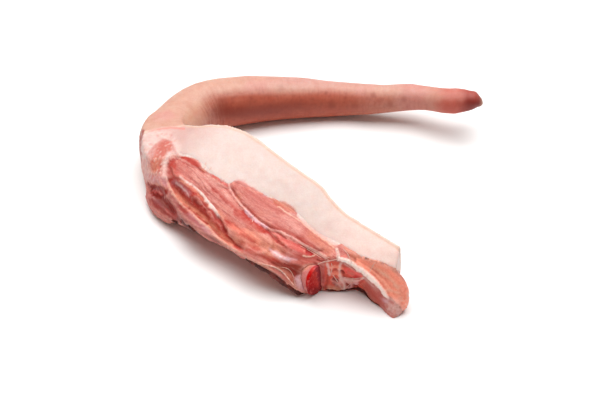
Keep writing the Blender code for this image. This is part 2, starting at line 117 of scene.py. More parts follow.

# What the knife and the muscles left on the cut face, and painted shade in its clefts, pits, pocket,
# hollow and underside, from the lowest layer to the topmost: tissue, strength, half width (0 for an
# outline), softness, relief in mm, and its route or outline.
LEAN_FEATURES = {
    "first muscle": ("muscle", 0.7, 0, 3, 0.6, [
        (168, 161), (170, 157.6), (174, 156.8), (181, 160.2), (188.6, 165), (197.2, 168.8), (203.9, 173.6),
        (210.6, 177.4), (217.3, 181.2), (224, 185), (230.7, 190.8), (236.4, 199.4), (245, 209),
        (252.7, 216.6), (259.4, 225.2), (268.9, 231.9), (275, 245), (262, 258), (240, 248), (228, 234),
        (219.2, 215.7), (211.5, 206.1), (205.8, 199.4), (201, 192.7), (194.3, 187), (186.7, 182.2),
        (180, 177.6), (173.3, 176.4), (170.4, 167.8)]),
    "its pale middle": ("pale muscle", 0.8, 5, 8, 0.2, [
        (196, 177), (206, 184), (217, 193), (228, 202), (240, 215), (252, 226), (264, 236)]),
    "dark streak in the first muscle": ("red muscle", 0.8, 2.4, 4.5, -0.2, [
        (214, 190), (224, 199), (234, 208), (244, 219)]),
    "red lower part of it": ("red muscle", 0.6, 0, 6, 0.0, [
        (232, 208), (246, 212), (258, 222), (264, 231), (256, 234), (244, 226), (234, 217)]),
    "pale right side of it": ("pale muscle", 0.7, 2.2, 5, 0.1, [
        (190, 168), (204, 176), (218, 186), (230, 199)]),
    "its red start": ("red muscle", 0.9, 3.5, 7, 0.0, [(171.5, 162), (173, 169), (177, 175.5)]),
    "flesh left of the bone": ("orange", 0.7, 0, 9, 0.2, [
        (238, 232), (252, 230), (266, 236), (276, 246), (284, 256), (276, 262), (258, 258), (244, 250),
        (234, 240)]),
    "second muscle": ("muscle", 0.6, 0, 2.5, 0.6, [
        (230.7, 187), (232, 182.5), (236.4, 180.3), (245, 183), (252.7, 188), (260.3, 193.7), (267, 198.4),
        (282, 208), (293.7, 216.7), (305.9, 224.9), (315.1, 233.1), (325.3, 240.2), (335.5, 248.4),
        (334, 256), (326.3, 256.5), (317.1, 250.4), (309, 246.3), (298.8, 241.2), (288.6, 234),
        (278.4, 230), (268.2, 225.9), (260, 220.8), (250, 210), (240, 198)]),
    "pale part of the second": ("pale muscle", 0.9, 4, 7, 0.1, [
        (242, 186), (252, 194), (266, 206), (282, 217), (298, 229)]),
    "dark low side of it": ("red muscle", 0.6, 2, 4, -0.1, [
        (252, 212), (264, 222), (280, 229), (298, 238), (314, 248)]),
    "its red shoulder": ("red muscle", 0.5, 5, 8, 0.0, [(240, 186), (252, 194), (264, 203), (280, 212)]),
    "its orange end": ("orange", 0.6, 4, 8, 0.0, [(312, 236), (322, 244), (331, 251)]),
    "orange-red patch on the fat": ("orange", 0.75, 0, 4, -0.1, [
        (265, 198), (272, 199.5), (284, 201.4), (291, 206), (296.5, 211.8), (290, 212), (282, 207),
        (272, 202)]),
    "upper dark strip": ("red muscle", 0.95, 0, 2.2, 0.3, [
        (179, 156.6), (187.1, 156.3), (193, 158.6), (198, 162), (201, 166.4), (198, 168), (190, 165),
        (184, 160.6)]),
    "line under the strip": ("red muscle", 0.7, 1.0, 1.0, -0.2, [
        (184, 163), (191, 167), (200, 169.6), (207, 175)]),
    "valley": ("red muscle", 0.95, 0, 3, 0.0, [
        (172, 178), (178, 179), (186, 184), (194, 189), (201, 195), (207, 202), (213, 208.5),
        (219.5, 215.5), (227, 233), (236, 244), (246, 252), (240, 252), (226, 243), (217, 235),
        (210.6, 229), (203.9, 223.5), (197.2, 218.5), (191.4, 212), (182.8, 205), (176.1, 197.4),
        (171.4, 190), (168, 181)]),
    "orange flesh in the valley": ("orange", 0.45, 2.5, 5, 0.2, [
        (174, 190), (180, 198), (187, 204.5), (196, 211), (206, 219), (214, 227)]),
    # Painted shade: the deep side of the valley, dark red.
    "painted shade on the valley's deep side": ("dark red", 0.85, 2.5, 5, -0.4, [
        (203, 203), (210, 210), (216, 217.5), (221, 225), (226, 232)]),
    "pale film of the valley": ("lilac", 0.6, 2.6, 4, 0.2, [
        (175, 182), (180, 185.5), (186, 190.5), (189, 193.5)]),
    "white streak of the film": ("white", 0.5, 0.6, 2, 0.15, [
        (177, 183), (182, 187), (187.5, 192.5), (189, 197)]),
    "eye muscle": ("dark red", 0.85, 0, 4, 0.4, [
        (188.8, 195.8), (191.5, 194.4), (196, 195.8), (200.5, 198.8), (203.8, 203), (202, 205),
        (197, 203.6), (192, 200.6)]),
    "eye muscle's red heart": ("dark red", 0.5, 1.4, 3, 0.1, [(192, 197.8), (197, 200.2), (201, 203)]),
    "fibres under the tendon": ("orange", 0.6, 1.4, 1.8, 0.2, [
        (181, 181), (189, 186), (196, 191), (203, 198.5), (209, 206)]),
    "tendon": ("white", 0.9, 0.85, 1.8, 0.5, [
        (180, 177.6), (186.7, 182.2), (194.3, 187), (201, 192.7), (205.8, 199), (211.5, 205.6),
        (216.3, 211.8), (219.2, 216.5)]),
    "tendon's broad part": ("white", 0.85, 1.3, 2, 0.3, [
        (206, 200), (211.5, 206.6), (216, 212.5), (219, 217.4)]),
    "orange film beyond the tendon": ("orange", 0.6, 2.2, 3.5, 0.2, [
        (219, 212), (224, 219), (230, 226), (237, 232)]),
    "cream fold beyond it": ("cream", 0.15, 1.4, 4, 0.2, [
        (222, 224), (228, 229.5), (236, 233), (246, 234)]),
    # Painted shade in the pocket beyond the tendon.
    "painted shade in the pocket beyond the tendon": ("dark red", 0.85, 1.6, 3.4, -0.7, [
        (218.5, 217.5), (221.5, 224), (225.5, 230.5)]),
    "dark line 1": ("dark red", 0.75, 0.35, 1.4, -0.35, [
        (186.7, 166.5), (196.2, 175), (201, 181.2), (207.7, 191.7), (219.2, 201.3), (227, 206.5)]),
    "dark line 2": ("dark red", 0.75, 0.35, 1.4, -0.35, [
        (210, 186), (217.3, 193.7), (224, 201.3), (230.7, 208), (237, 212)]),
    "dark line 3": ("dark red", 0.55, 0.3, 1.4, -0.2, [
        (195, 170.5), (205, 178.5), (214, 186), (224, 193.5)]),
    "dark line 4": ("dark red", 0.55, 0.3, 1.4, -0.2, [(214, 204), (226, 213.5), (238, 222), (252, 232)]),
    "dark line 5": ("dark red", 0.55, 0.3, 1.4, -0.2, [(188, 176), (196, 182.5), (205, 191.5), (212, 200)]),
    "pale line 1": ("pink line", 0.4, 0.4, 1.8, 0.15, [
        (185, 164.6), (198, 173.5), (213, 184.5), (224, 193.5), (234, 203)]),
    "pale line 2": ("pink line", 0.4, 0.4, 1.8, 0.15, [(209, 197), (220, 206), (232, 216.5), (244, 226)]),
    "streak right of the pocket": ("red muscle", 0.95, 2.6, 5, -0.3, [
        (226, 222), (236, 229), (245, 236), (254, 242)]),
    "streak near the septum": ("red muscle", 0.95, 3, 5, -0.2, [
        (245, 213.5), (252, 220), (258, 226), (264, 232)]),
    "bright red line": ("bright red", 0.8, 0.7, 1.2, 0.0, [
        (213.4, 175.8), (218, 179), (222.5, 182.6), (227, 186)]),
    "upper rim of the first muscle": ("pink line", 0.5, 0.6, 2.2, 0.3, [
        (176, 157.6), (183, 160), (192, 166.2), (201, 171), (210, 177), (218, 182.3), (226, 187.5),
        (231, 192.5)]),
    "septum": ("pink line", 0.9, 1.0, 1.8, 0.8, [
        (229, 186), (232, 192.5), (236, 199), (243.4, 207.2), (250, 213.8), (256.5, 220), (263, 225.8),
        (270, 229.4), (278.4, 231.8), (288.6, 235.6), (298.8, 242), (309, 247.2), (317.1, 251.4),
        (326.3, 257.3)]),
    "dark cleft over the septum": ("dark red", 0.7, 0.8, 2.2, -0.3, [
        (268, 227), (274, 230.4), (280, 234.6), (286, 238)]),
    "septum's broad lilac part": ("pale lilac", 0.8, 1.6, 2.4, 0.2, [
        (247, 212.5), (253, 218.4), (260, 224), (267, 228)]),
    "pink spot on it": ("bright red", 0.5, 0.8, 1.6, 0.1, [(258.5, 224), (260.5, 225.5)]),
    "red strip": ("bright red", 0.85, 0, 2.2, 0.2, [
        (271.5, 231.8), (276, 233.8), (283, 237.6), (292, 241.4), (300.8, 245), (307, 248.4), (309, 253),
        (304, 253.8), (293.7, 250.6), (284, 245), (277, 238)]),
    "red strip's bright edge": ("rosy", 0.7, 1.0, 1.5, 0.2, [
        (280, 240), (290, 245), (299, 248.6), (305, 251.6)]),
    "red cleft beyond the septum": ("blood", 0.75, 1.1, 2.6, -0.3, [
        (266.5, 231), (271, 236), (277, 241), (283, 245.4)]),
    "dark end of the cleft": ("dark red", 0.7, 1.2, 2.6, -0.3, [(278, 242), (284, 246), (291, 250.6)]),
    "red blotch on the belly": ("red muscle", 0.7, 2.4, 5, -0.1, [(243, 243), (250, 246), (257, 250)]),
    "pale flesh under the tendon's end": ("warm flesh", 0.5, 2.4, 6, 0.2, [
        (233, 228), (242, 232), (252, 236), (258, 242)]),
    "cut vein": ("blood", 0.95, 1.7, 2.2, -0.3, [(307.6, 251.6), (311.2, 253.8)]),
    "pale lips of the vein": ("cream", 0.8, 0.5, 1.1, 0.3, [
        (303.5, 255.4), (308, 256.6), (313.4, 256.6), (316, 254)]),
    "fibre line across the second muscle": ("pink line", 0.3, 0.3, 1.6, 0.15, [
        (240, 186.5), (243, 194), (247, 201), (254, 207.6)]),
    "upper pale line": ("cream", 0.85, 0.6, 1.2, 0.15, [
        (279, 207.5), (284, 211), (293.7, 217.6), (305.9, 225.8), (315.1, 234), (325.3, 241),
        (335.5, 249.2)]),
    "film between it and the fat": ("pink line", 0.6, 1.8, 3, 0.0, [
        (290, 213), (300, 219.4), (309, 226.4), (318, 233.4), (328, 240.4), (336, 246)]),
    "lilac hint": ("lilac", 0.4, 1.5, 2.5, 0.0, [(262, 193), (268, 199), (272, 202)]),
    "white web": ("white", 0.9, 1.5, 1.6, 0.2, [(336.5, 249), (338, 254), (338.6, 258.6)]),
    "lilac in the web": ("lilac", 0.7, 1.0, 2.0, 0.0, [(337, 251.5), (337.6, 255)]),
    "window 1": ("rosy", 0.8, 0, 1.0, -0.2, [
        (340, 255.5), (345.5, 253.2), (347.5, 257), (345, 259.4), (340.6, 258.8)]),
    "window 2": ("orange", 0.8, 0, 1.2, -0.2, [
        (349, 255), (354, 255), (357, 260), (355.5, 263.4), (351.6, 260.6)]),
    "strip along the fat": ("orange", 0.7, 0, 3, 0.2, [
        (341, 245.4), (347, 248), (354, 252), (361, 256.4), (366, 260.4), (360, 261.4), (353, 256),
        (345, 250)]),
    "tongue": ("warm flesh", 1.0, 0, 3, 0.3, [
        (357, 259), (368, 259.4), (378.4, 261), (388, 267), (398, 275), (406, 282), (411.5, 293),
        (414, 303), (406, 313), (396, 303), (387, 295), (379, 288), (371, 279), (363, 271), (356, 264)]),
    "tongue's red middle": ("orange", 0.3, 4, 8, 0.2, [(378, 268), (388, 276), (396, 286), (402, 296)]),
    "tongue's lower pale streaks": ("cream", 0.35, 0.8, 3, 0.1, [(386, 290.6), (392, 290), (399, 293)]),
    "tongue's pale streak": ("cream", 0.4, 1.4, 4, 0.2, [(372, 266), (382, 271.6), (391, 279), (398, 287)]),
    "tongue's pale streak 2": ("cream", 0.3, 1.0, 3.5, 0.2, [
        (366, 266), (376, 274), (385, 283), (392, 291)]),
    "tongue's pale end": ("bright film", 0.3, 0, 5, 0.0, [
        (388, 296), (397, 298), (402, 303), (403, 309), (399, 316), (391, 314), (385, 305)]),
    "whitish film on the end": ("pale lilac", 0.5, 0, 4, 0.1, [
        (379, 297.6), (386, 298.4), (391, 300.6), (388, 304), (381, 302)]),
    "red spot under it": ("red muscle", 0.5, 1.5, 2.0, 0.0, [(389.5, 301), (393, 303)]),
    "ridge": ("bright film", 0.9, 0, 2.2, 0.8, [
        (338, 257), (344, 257.4), (350.4, 260.6), (356, 263.8), (361, 267.2), (367, 271.4), (373, 276),
        (380, 284), (385, 290.4), (390, 297.6), (388.5, 299.5), (383, 293.8), (377.4, 287.2), (372, 282),
        (366.4, 276.8), (360, 272.2), (354, 268), (347.6, 263.8), (342, 261.2), (337.5, 260.2)]),
    "ridge's warm side": ("white", 0.35, 0.7, 2, 0.1, [
        (343, 262.6), (350, 267.6), (358, 273.4), (366, 279.6), (373, 287)]),
    "spongy bed": ("spongy", 1.0, 0, 2.5, 0.0, [
        (325, 263), (333, 260.5), (341, 262.5), (349, 268), (357, 273.5), (364, 279), (369, 286),
        (366, 291), (352, 291), (342, 295), (334, 293), (325, 294), (322, 280)]),
    "underside of the ridge": ("patch red", 0.85, 0, 4, 0.0, [
        (365, 280), (372, 288), (379, 296), (384, 303), (381, 308), (373, 303), (367, 294), (363, 286)]),
    "rosy patch on that side": ("red muscle", 0.55, 3, 5, 0.0, [(367, 286), (373, 294), (379, 301)]),
    "ragged orange 1": ("warm flesh", 0.8, 1.8, 3, 0.6, [(331, 267.5), (336, 266), (341.5, 268.5)]),
    "ragged orange 2": ("warm flesh", 0.7, 1.6, 3, 0.5, [(332, 273.6), (337, 272.6), (341, 274)]),
    "pale wall by the disc": ("white", 0.7, 1.2, 2.5, 0.3, [(327.6, 264.6), (329, 270), (329.5, 275)]),
    "meat in the hollow": ("glossy red", 0.9, 3.6, 3, 0.5, [(347.5, 270.6), (353, 273.4), (359.5, 277)]),
    "its bright end": ("blood", 0.8, 1.6, 3, 0.2, [(355, 276.4), (360, 277.6)]),
    # A painted highlight on top of the glossy red meat.
    "painted highlight on top of it": ("patch red", 0.6, 1.2, 2.5, 0.3, [(349, 271.4), (354, 273.4)]),
    "pale web": ("white", 0.4, 0, 4, 0.4, [
        (332, 280), (340, 278.6), (350, 279.4), (360, 280), (357, 285), (350, 288.6), (343, 292.5),
        (337, 289)]),
    "film 1 of the web": ("white", 0.6, 1.1, 2.4, 0.5, [
        (341, 263), (339, 269), (340.6, 276), (344, 283), (345, 291)]),
    "film 2 of the web": ("white", 0.55, 0.9, 2.0, 0.4, [
        (342, 277.5), (349, 279.6), (356, 280.6), (363, 278)]),
    "film 3 of the web": ("pale lilac", 0.5, 1.8, 3.4, 0.2, [(346.5, 290), (351, 285.6), (357, 283)]),
    "red between the films": ("dark red", 0.55, 1.4, 3.0, -0.5, [(334, 283), (337.5, 286), (339.5, 290)]),
    # The pits: dark red, with painted shade in their depths.
    "painted shade in pit 1": ("dark red", 0.85, 1.5, 2.5, -0.9, [(334.5, 279.6), (337, 280.4)]),
    "painted shade in pit 2": ("dark red", 0.8, 1.3, 2.5, -0.8, [(346.5, 284), (349, 285.6)]),
    "painted shade in pit 3": ("dark red", 0.75, 1.2, 2.2, -0.8, [(341.5, 270.6), (343.5, 272.6)]),
    "painted shade in pit 4": ("gap", 0.7, 1.6, 3, -0.9, [(353.5, 285), (357, 287)]),
    "orange-red bit low down": ("orange", 0.85, 2.2, 3, 0.3, [(328.5, 286.6), (334, 288.4), (339, 289)]),
    # Painted shade in the cleft right of the disc.
    "painted shade in the cleft right of the disc": ("gap", 0.35, 1.2, 4, -0.3, [(327.4, 276), (327.6, 282), (325, 288)]),
    "disc's hidden rim": ("marrow", 1.0, 0, 1.2, 0.3, [
        (317, 264), (322, 266), (325.4, 274), (326, 281.6), (323, 288), (316, 294), (311, 294.5),
        (311, 280), (312, 268)]),
    "purple sheen of the disc": ("dark red", 0.55, 1.8, 3, 0.0, [(319.6, 268.6), (322, 275), (322.4, 280)]),
    # Painted shade at the foot of the disc.
    "painted shade at the foot of the disc": ("dark red", 0.7, 1.6, 3, -0.2, [(311, 293.6), (317, 291), (322, 288)]),
    "cartilage": ("pale lilac", 0.65, 0, 4, 0.2, [
        (296, 273), (300.5, 267), (308, 265), (315, 264), (309, 272), (306, 280), (307.5, 289),
        (303.5, 291.5), (298, 288), (295, 281)]),
    "cream top of the bone": ("orange", 0.7, 2.0, 3, 0.2, [(299.5, 268), (305, 266.4), (311, 265)]),
    "sheath's lower film": ("deep lilac", 0.75, 0, 4, 0.0, [
        (168, 189), (176, 200), (186, 210), (197, 219.5), (209, 229.5), (217, 239), (226, 247), (234, 253),
        (226, 250), (214, 241), (201, 232), (190, 230), (178, 222), (164, 216), (153, 208), (150, 196),
        (158, 199)]),
    "sheath's lilac film 2": ("deep lilac", 0.5, 1.6, 4, 0.2, [
        (172.5, 201), (177, 208), (181.5, 214), (185.5, 219)]),
    "sheath's lilac film 3": ("lilac", 0.6, 1.8, 4, 0.2, [
        (189, 214), (195, 220.6), (202, 227), (209, 233)]),
    "sheath's lilac film 4": ("lilac", 0.45, 1.3, 3.5, 0.2, [
        (151, 195.6), (156.5, 202), (163.7, 208.5), (171.4, 215)]),
    "dark between the films": ("dark red", 0.5, 1.3, 3.5, -0.3, [
        (181, 206.6), (187, 213.6), (194, 220), (201, 226)]),
    "dark below the hollow": ("dark red", 0.7, 1.8, 4, -0.3, [(165, 199), (171, 206), (176, 213)]),
    "sheath's edge": ("cream", 0.5, 0.9, 2.6, 0.6, [
        (165.5, 177), (167.5, 182), (171.4, 190.8), (176.1, 198.4), (182.8, 206.1), (191.4, 212.8),
        (197.2, 219.5), (203.9, 224.3), (210.6, 230), (217.8, 237.4), (225.9, 244.6), (237.1, 251.7),
        (245.3, 256.8), (257.6, 262.4), (268, 266)]),
    "orange belly over the edge": ("orange", 0.7, 2.2, 3.5, 0.3, [
        (178, 197), (186, 204), (195, 211), (204, 218.4), (213, 227), (222, 236), (232, 244)]),
    "lower flesh": ("muscle", 0.7, 0, 8, 0.0, [
        (240, 246), (252, 250), (264, 256), (276, 262), (286, 266), (280, 270), (270, 266), (256, 262),
        (244, 257)]),
    "red under the flesh": ("red muscle", 0.9, 2.5, 6, -0.2, [
        (247, 249), (258, 253), (268, 258.6), (278, 263)]),
    "lilac band of the lip": ("pale lilac", 0.75, 1.9, 3.5, 0.2, [
        (270, 250.4), (275, 252.8), (280.4, 256.5), (287.6, 259.4), (295, 260.8)]),
    "white core of that band": ("white", 0.6, 0.6, 1.4, 0.1, [(273, 252), (279, 256), (285, 258.6)]),
    "orange above the bone": ("rosy", 0.8, 1.8, 4, 0.1, [(292, 262), (299, 262.6), (306, 262), (312, 261)]),
    "dark notch by the vein": ("dark red", 0.7, 0.9, 1.6, -0.4, [(317, 259.6), (321, 261.4), (324, 261.6)]),
    "lip's pale fringe": ("orange", 0.7, 0.6, 1.3, 0.4, [
        (258, 262.8), (266, 265.2), (273.3, 266.7), (280.4, 269.8), (285.6, 275.4), (290, 281.4),
        (295, 288), (303, 293.4)]),
    "flesh over the fringe": ("shaded flesh", 0.95, 0, 3, 0.1, [
        (272, 262), (284, 262.6), (296, 264), (305, 267), (302, 274), (296, 277), (291, 274), (284, 270),
        (276, 267)]),
    "pale fan of the fringe": ("orange", 0.5, 0, 4, 0.1, [
        (276, 267), (283, 268), (290, 272), (294, 280), (297, 289), (292, 286), (287, 279), (282, 272)]),
    "red cleft above the bone": ("dark red", 0.75, 0.7, 1.2, -0.4, [
        (284, 263.6), (289, 266.6), (293.5, 270.4), (296, 274)]),
    # Painted shade on the underside below the lip.
    "painted shade of the underside": ("gap", 0.95, 0, 2.4, -0.3, [
        (258, 266), (268, 270), (277, 274.5), (284, 281), (290, 288), (298, 295), (309, 299), (300, 299),
        (288, 292), (276, 284), (264, 276), (252, 268), (240, 260), (246, 260)]),
    "rough start": ("white", 0.35, 0, 8, 0.2, [
        (140, 132), (152, 131.5), (165, 131), (178, 141), (180, 153), (172, 156), (164, 165), (160, 176),
        (152, 180), (146, 182), (142, 165), (138, 150)]),
    "orange-red patch": ("patch red", 0.9, 0, 4.5, 0.0, [
        (162.7, 141), (167, 140.6), (170.4, 142.4), (173.3, 146), (171.4, 150.6), (167, 153),
        (164.7, 160.2), (162.7, 167.8), (158.9, 173.2), (151.8, 172), (148.8, 167.8), (149.6, 162.1),
        (153.2, 157.3), (155.6, 151.6), (155.6, 145.8), (158.9, 142)]),
    "its orange lower half": ("orange", 0.6, 3.0, 6, 0.0, [(157, 160), (155, 166), (154, 170)]),
    "white rim": ("white", 0.5, 2.4, 4.5, 0.4, [
        (178, 155.6), (173, 153.8), (168.4, 155.6), (165.6, 160.6), (164.6, 167), (163.8, 173),
        (165, 177.5)]),
    "film under the patch": ("lilac", 0.6, 0, 4, 0.1, [
        (147, 174), (152, 174), (158, 175.6), (164, 177.4), (168, 183), (166, 187), (158, 184),
        (150, 180)]),
    # Painted shade: the hollow is painted dark red where shade falls in it.
    "hollow": ("dark red", 1.0, 0, 4, -1.0, [
        (151, 186.4), (156.5, 184.8), (163, 187), (168, 191), (166, 196), (160, 199), (154, 196.4),
        (150.6, 191)]),
    "red wall under the hollow": ("dark red", 0.85, 2.4, 5, -0.2, [(163, 198), (169, 203), (174, 209)]),
    "glossy lump": ("bright red", 0.7, 1.2, 3, 0.8, [(153.5, 190.6), (157.5, 192), (160.5, 195)]),
    "left foot": ("red muscle", 0.5, 1.6, 3.5, 0.5, [
        (148.5, 197), (151, 203), (155, 209), (160.5, 214.6), (166, 218)]),
    "red beside the left foot": ("dark red", 0.55, 2.2, 5, -0.2, [
        (152, 199), (158, 206), (165, 212.6), (172, 218)]),
    # Painted shade between the lumps at the foot.
    "painted shade between the lumps": ("gap", 0.9, 1.6, 1.6, -0.8, [(181, 221), (184, 225.5), (187.5, 227)]),
    "film over the lump": ("red muscle", 0.6, 2.0, 3, 0.2, [(166, 210), (171, 214.6), (176, 216)]),
    "small red threads in the fat 1": ("orange", 0.6, 0.4, 0.9, 0.0, [
        (203, 170), (205.8, 166.6), (205.6, 162.6)]),
    "small red threads in the fat 2": ("orange", 0.5, 0.4, 0.9, 0.0, [(209.5, 171), (211.5, 167.6)]),
}

SMOOTH_EDGE, GRAIN_LOST = (-3, 3), 0.6   # the tongue's flesh has less grain than the rest
SMOOTH_FLESH = [
    (352, 252), (380, 256), (402, 270), (425, 300), (415, 325), (385, 320), (368, 292), (352, 270)]
TORN_PLACES = {  # relief in mm, outline
    "start of the rump": (0.3, [
        (136, 133), (172, 131), (179, 143), (170, 154), (164, 174), (158, 180), (140, 180)]),
    "end of the tongue": (0.3, [
        (396, 276), (416, 280), (420, 318), (392, 322), (378, 306), (392, 308), (401, 300), (402, 288)]),
    "under the web": (0.4, [(320, 286), (334, 284), (350, 283), (366, 284), (366, 298), (320, 298)]),
}
TORN_EDGE, TORN_TINT = (-4, 4), 0.35

MUSCLE_GUIDES = [  # lines that the grain of the meat follows
    [(150, 140), (152, 165), (156, 195), (168, 212), (200, 232), (235, 256), (275, 278), (310, 298)],
    [(168, 150), (173, 163), (186, 172), (206, 188), (228, 207), (252, 230), (276, 246), (300, 258),
     (330, 272)],
    [(230, 178), (246, 194), (266, 208), (290, 222), (312, 238), (334, 254), (356, 268), (380, 288),
     (396, 304)],
    [(336, 244), (356, 254), (378, 268), (394, 284), (404, 306)],
]
GUIDES_APART = 300                       # so that no two guides share a pattern
INTO_MEAT = 0.4                          # the grain's pixels for each millimetre from front to back
BUNDLE_SIZE, THREAD_SIZE = (34, 2.2, 5.0), (22, 0.9, 2.4)    # along, across and into the meat, in pixels


def linear(hex_colour):
    """An sRGB hex colour as linear red, green and blue."""
    channels = np.array([int(hex_colour[i:i + 2], 16) for i in (0, 2, 4)]) / 255
    return np.where(channels > 0.04045, ((channels + 0.055) / 1.055) ** 2.4, channels / 12.92)


def soft_step(low, high, x):
    """0 before low, 1 past high, and a soft S between them. Low may be the larger number."""
    t = np.clip((np.asarray(x, float) - low) / (high - low), 0, 1)
    return t * t * (3 - 2 * t)


def smooth_route(points, rounds=2):
    """A route with its corners cut off, a little more in each round."""
    route = np.array(points, float)
    for _ in range(rounds):
        quarter = route[:-1] * 0.75 + route[1:] * 0.25
        three_quarters = route[:-1] * 0.25 + route[1:] * 0.75
        inner = np.stack([quarter, three_quarters], axis=1).reshape(-1, route.shape[1])
        route = np.concatenate([route[:1], inner, route[-1:]])
    return route


def by_route(places, route):
    """For each place: how far it is from a route, positive on its right as the photograph is
    seen, and how far along the route the nearest point is."""
    nearest = np.full(len(places), np.inf)
    side, run, walked = np.ones(len(places)), np.zeros(len(places)), 0.0
    for start, end in zip(route[:-1], route[1:]):
        step = end - start
        length = math.hypot(*step)
        if length == 0:
            continue
        offset = places - start
        share = np.clip(offset @ step / length ** 2, 0, 1)
        distance = np.hypot(*(offset - share[:, None] * step).T)
        closer = distance < nearest
        nearest = np.where(closer, distance, nearest)
        side = np.where(closer, np.sign(step[0] * offset[:, 1] - step[1] * offset[:, 0]), side)
        run = np.where(closer, walked + share * length, run)
        walked += length
    return nearest * side, run


def off_route(places, points):
    """How far each place is from a smoothed route, whichever side it is on."""
    return np.abs(by_route(places, smooth_route(points))[0])


def inside_by(places, points):
    """How far inside a smoothed outline each place is. It is negative outside."""
    outline = smooth_route(points)
    closed = np.concatenate([outline, outline[:1]])
    distance = np.abs(by_route(places, closed)[0])
    inside = np.zeros(len(places), bool)
    for (x0, y0), (x1, y1) in zip(closed[:-1], closed[1:]):
        spans = (y0 > places[:, 1]) != (y1 > places[:, 1])
        if y0 != y1:
            inside ^= spans & (places[:, 0] < x0 + (places[:, 1] - y0) * (x1 - x0) / (y1 - y0))
    return np.where(inside, distance, -distance)


def ripple(points, size, seed):
    """Smooth noise from about -1 to 1 over points in metres, with waves of that size in metres."""
    shift = Vector((seed * 7.31, seed * 3.17, seed * 5.93))
    return np.array([noise.noise(Vector(p) / size + shift) for p in points])


def new_object(name, data):
    """A new object with that mesh or light, put into the scene."""
    made = bpy.data.objects.new(name, data)
    bpy.context.scene.collection.objects.link(made)
    return made


def even_copy(nodes, name, voxel, smoothing, grow=0.0):
    """A new piece in the shape of one node or more, with small even faces. Sizes are millimetres."""
    joined = bmesh.new()
    for node in nodes:
        joined.from_mesh(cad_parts[node].data)
    bmesh.ops.remove_doubles(joined, verts=joined.verts, dist=1e-6)
    joined.normal_update()
    for vertex in joined.verts:
        vertex.co += vertex.normal * grow * MM
    mesh = bpy.data.meshes.new(name)
    joined.to_mesh(mesh)
    joined.free()
    piece = new_object(name, mesh)
    remesh = piece.modifiers.new("even_faces", "REMESH")
    remesh.mode, remesh.voxel_size = "VOXEL", voxel * MM
    smooth = piece.modifiers.new("smooth", "SMOOTH")
    smooth.factor, smooth.iterations = 0.5, smoothing
    shaped = piece.evaluated_get(bpy.context.evaluated_depsgraph_get())
    piece.data = bpy.data.meshes.new_from_object(shaped)
    piece.modifiers.clear()
    piece.data.materials.clear()
    return piece


def tree_of(mesh):
    """A mesh as a tree that finds the nearest point on it."""
    return BVHTree.FromPolygons([v.co for v in mesh.vertices], [p.vertices for p in mesh.polygons])


def points_of(piece):
    """The vertices and their outward directions, as arrays."""
    count = len(piece.data.vertices)
    places, outward = np.zeros(count * 3), np.zeros(count * 3)
    piece.data.vertices.foreach_get("co", places)
    piece.data.vertex_normals.foreach_get("vector", outward)
    return places.reshape(-1, 3), outward.reshape(-1, 3)


def keep_values(piece, **values):
    """Stores values at the vertices for the materials: three numbers each, or one."""
    for name, array in values.items():
        flat = np.asarray(array, np.float32)
        kind, field = ("FLOAT", "value") if flat.ndim == 1 else ("FLOAT_VECTOR", "vector")
        piece.data.attributes.new(name, kind, "POINT").data.foreach_set(field, flat.ravel())


def finish_shape(piece, places):
    """Moves the vertices to their last places, none of them below the slab's top."""
    places[:, 2] = np.maximum(places[:, 2], 0.0)
    piece.data.vertices.foreach_set("co", np.asarray(places, np.float32).ravel())
    piece.data.shade_smooth()
    piece.data.update()


def one_colour(colour, places):
    """That colour at every place, as paint."""
    return np.tile(linear(colour), (len(places), 1))


def lay(paint, share, colour):
    """Lays a colour, or other paint, over paint as far as share says."""
    share = np.clip(share, 0, 1)[:, None]
    return paint * (1 - share) + (linear(colour) if isinstance(colour, str) else colour) * share


def fill(tree, node, inputs):
    """Sets a shader node's inputs to plain values, or links them to outputs of other nodes."""
    for key, value in inputs.items():
        if isinstance(value, bpy.types.NodeSocket):
            tree.links.new(value, node.inputs[key])
        else:
            node.inputs[key].default_value = value


def add(tree, kind, inputs=None, **settings):
    """Adds a shader node with its settings, and fills its inputs."""
    made = tree.nodes.new("ShaderNode" + kind)
    for name, value in settings.items():
        setattr(made, name, value)
    fill(tree, made, inputs or {})
    return made


def new_material(name):
    """A new Principled material with its tree and its shader."""
    made = bpy.data.materials.new(name)
    made.use_nodes = True
    return made, made.node_tree, made.node_tree.nodes["Principled BSDF"]


def tinted(tree, paint, pattern, spread, dark, pale, shown=1.0):
    """Paint times a tint, from dark to pale as the pattern rises through its spread."""
    depth = add(tree, "MapRange", {"Value": pattern, "From Min": spread[0], "From Max": spread[1]}).outputs[0]
    tint = add(tree, "Mix", {0: depth, 4: dark, 5: pale}, data_type="VECTOR").outputs[1]
    tint = add(tree, "Mix", {0: shown, 4: (1, 1, 1), 5: tint}, data_type="VECTOR").outputs[1]
    return add(tree, "VectorMath", {0: paint, 1: tint}, operation="MULTIPLY").outputs[0]


def fine_relief(tree, strength, height_mm, *patterns):
    """The normal of a surface that patterns raise, each as far as its share."""
    height = 0.0
    for pattern, share in patterns:
        height = add(tree, "Math", {0: pattern, 1: share, 2: height}, operation="MULTIPLY_ADD").outputs[0]
    return add(tree, "Bump", {"Height": height, "Strength": strength, "Distance": height_mm * MM}).outputs[0]


def dried_by(tree, wet, pattern, share):
    """Roughness: one less the wetness, and up to a share more where the pattern is high."""
    rough = add(tree, "Math", {0: 1.0, 1: wet}, operation="SUBTRACT").outputs[0]
    return add(tree, "Math", {0: pattern, 1: share, 2: rough}, operation="MULTIPLY_ADD").outputs[0]


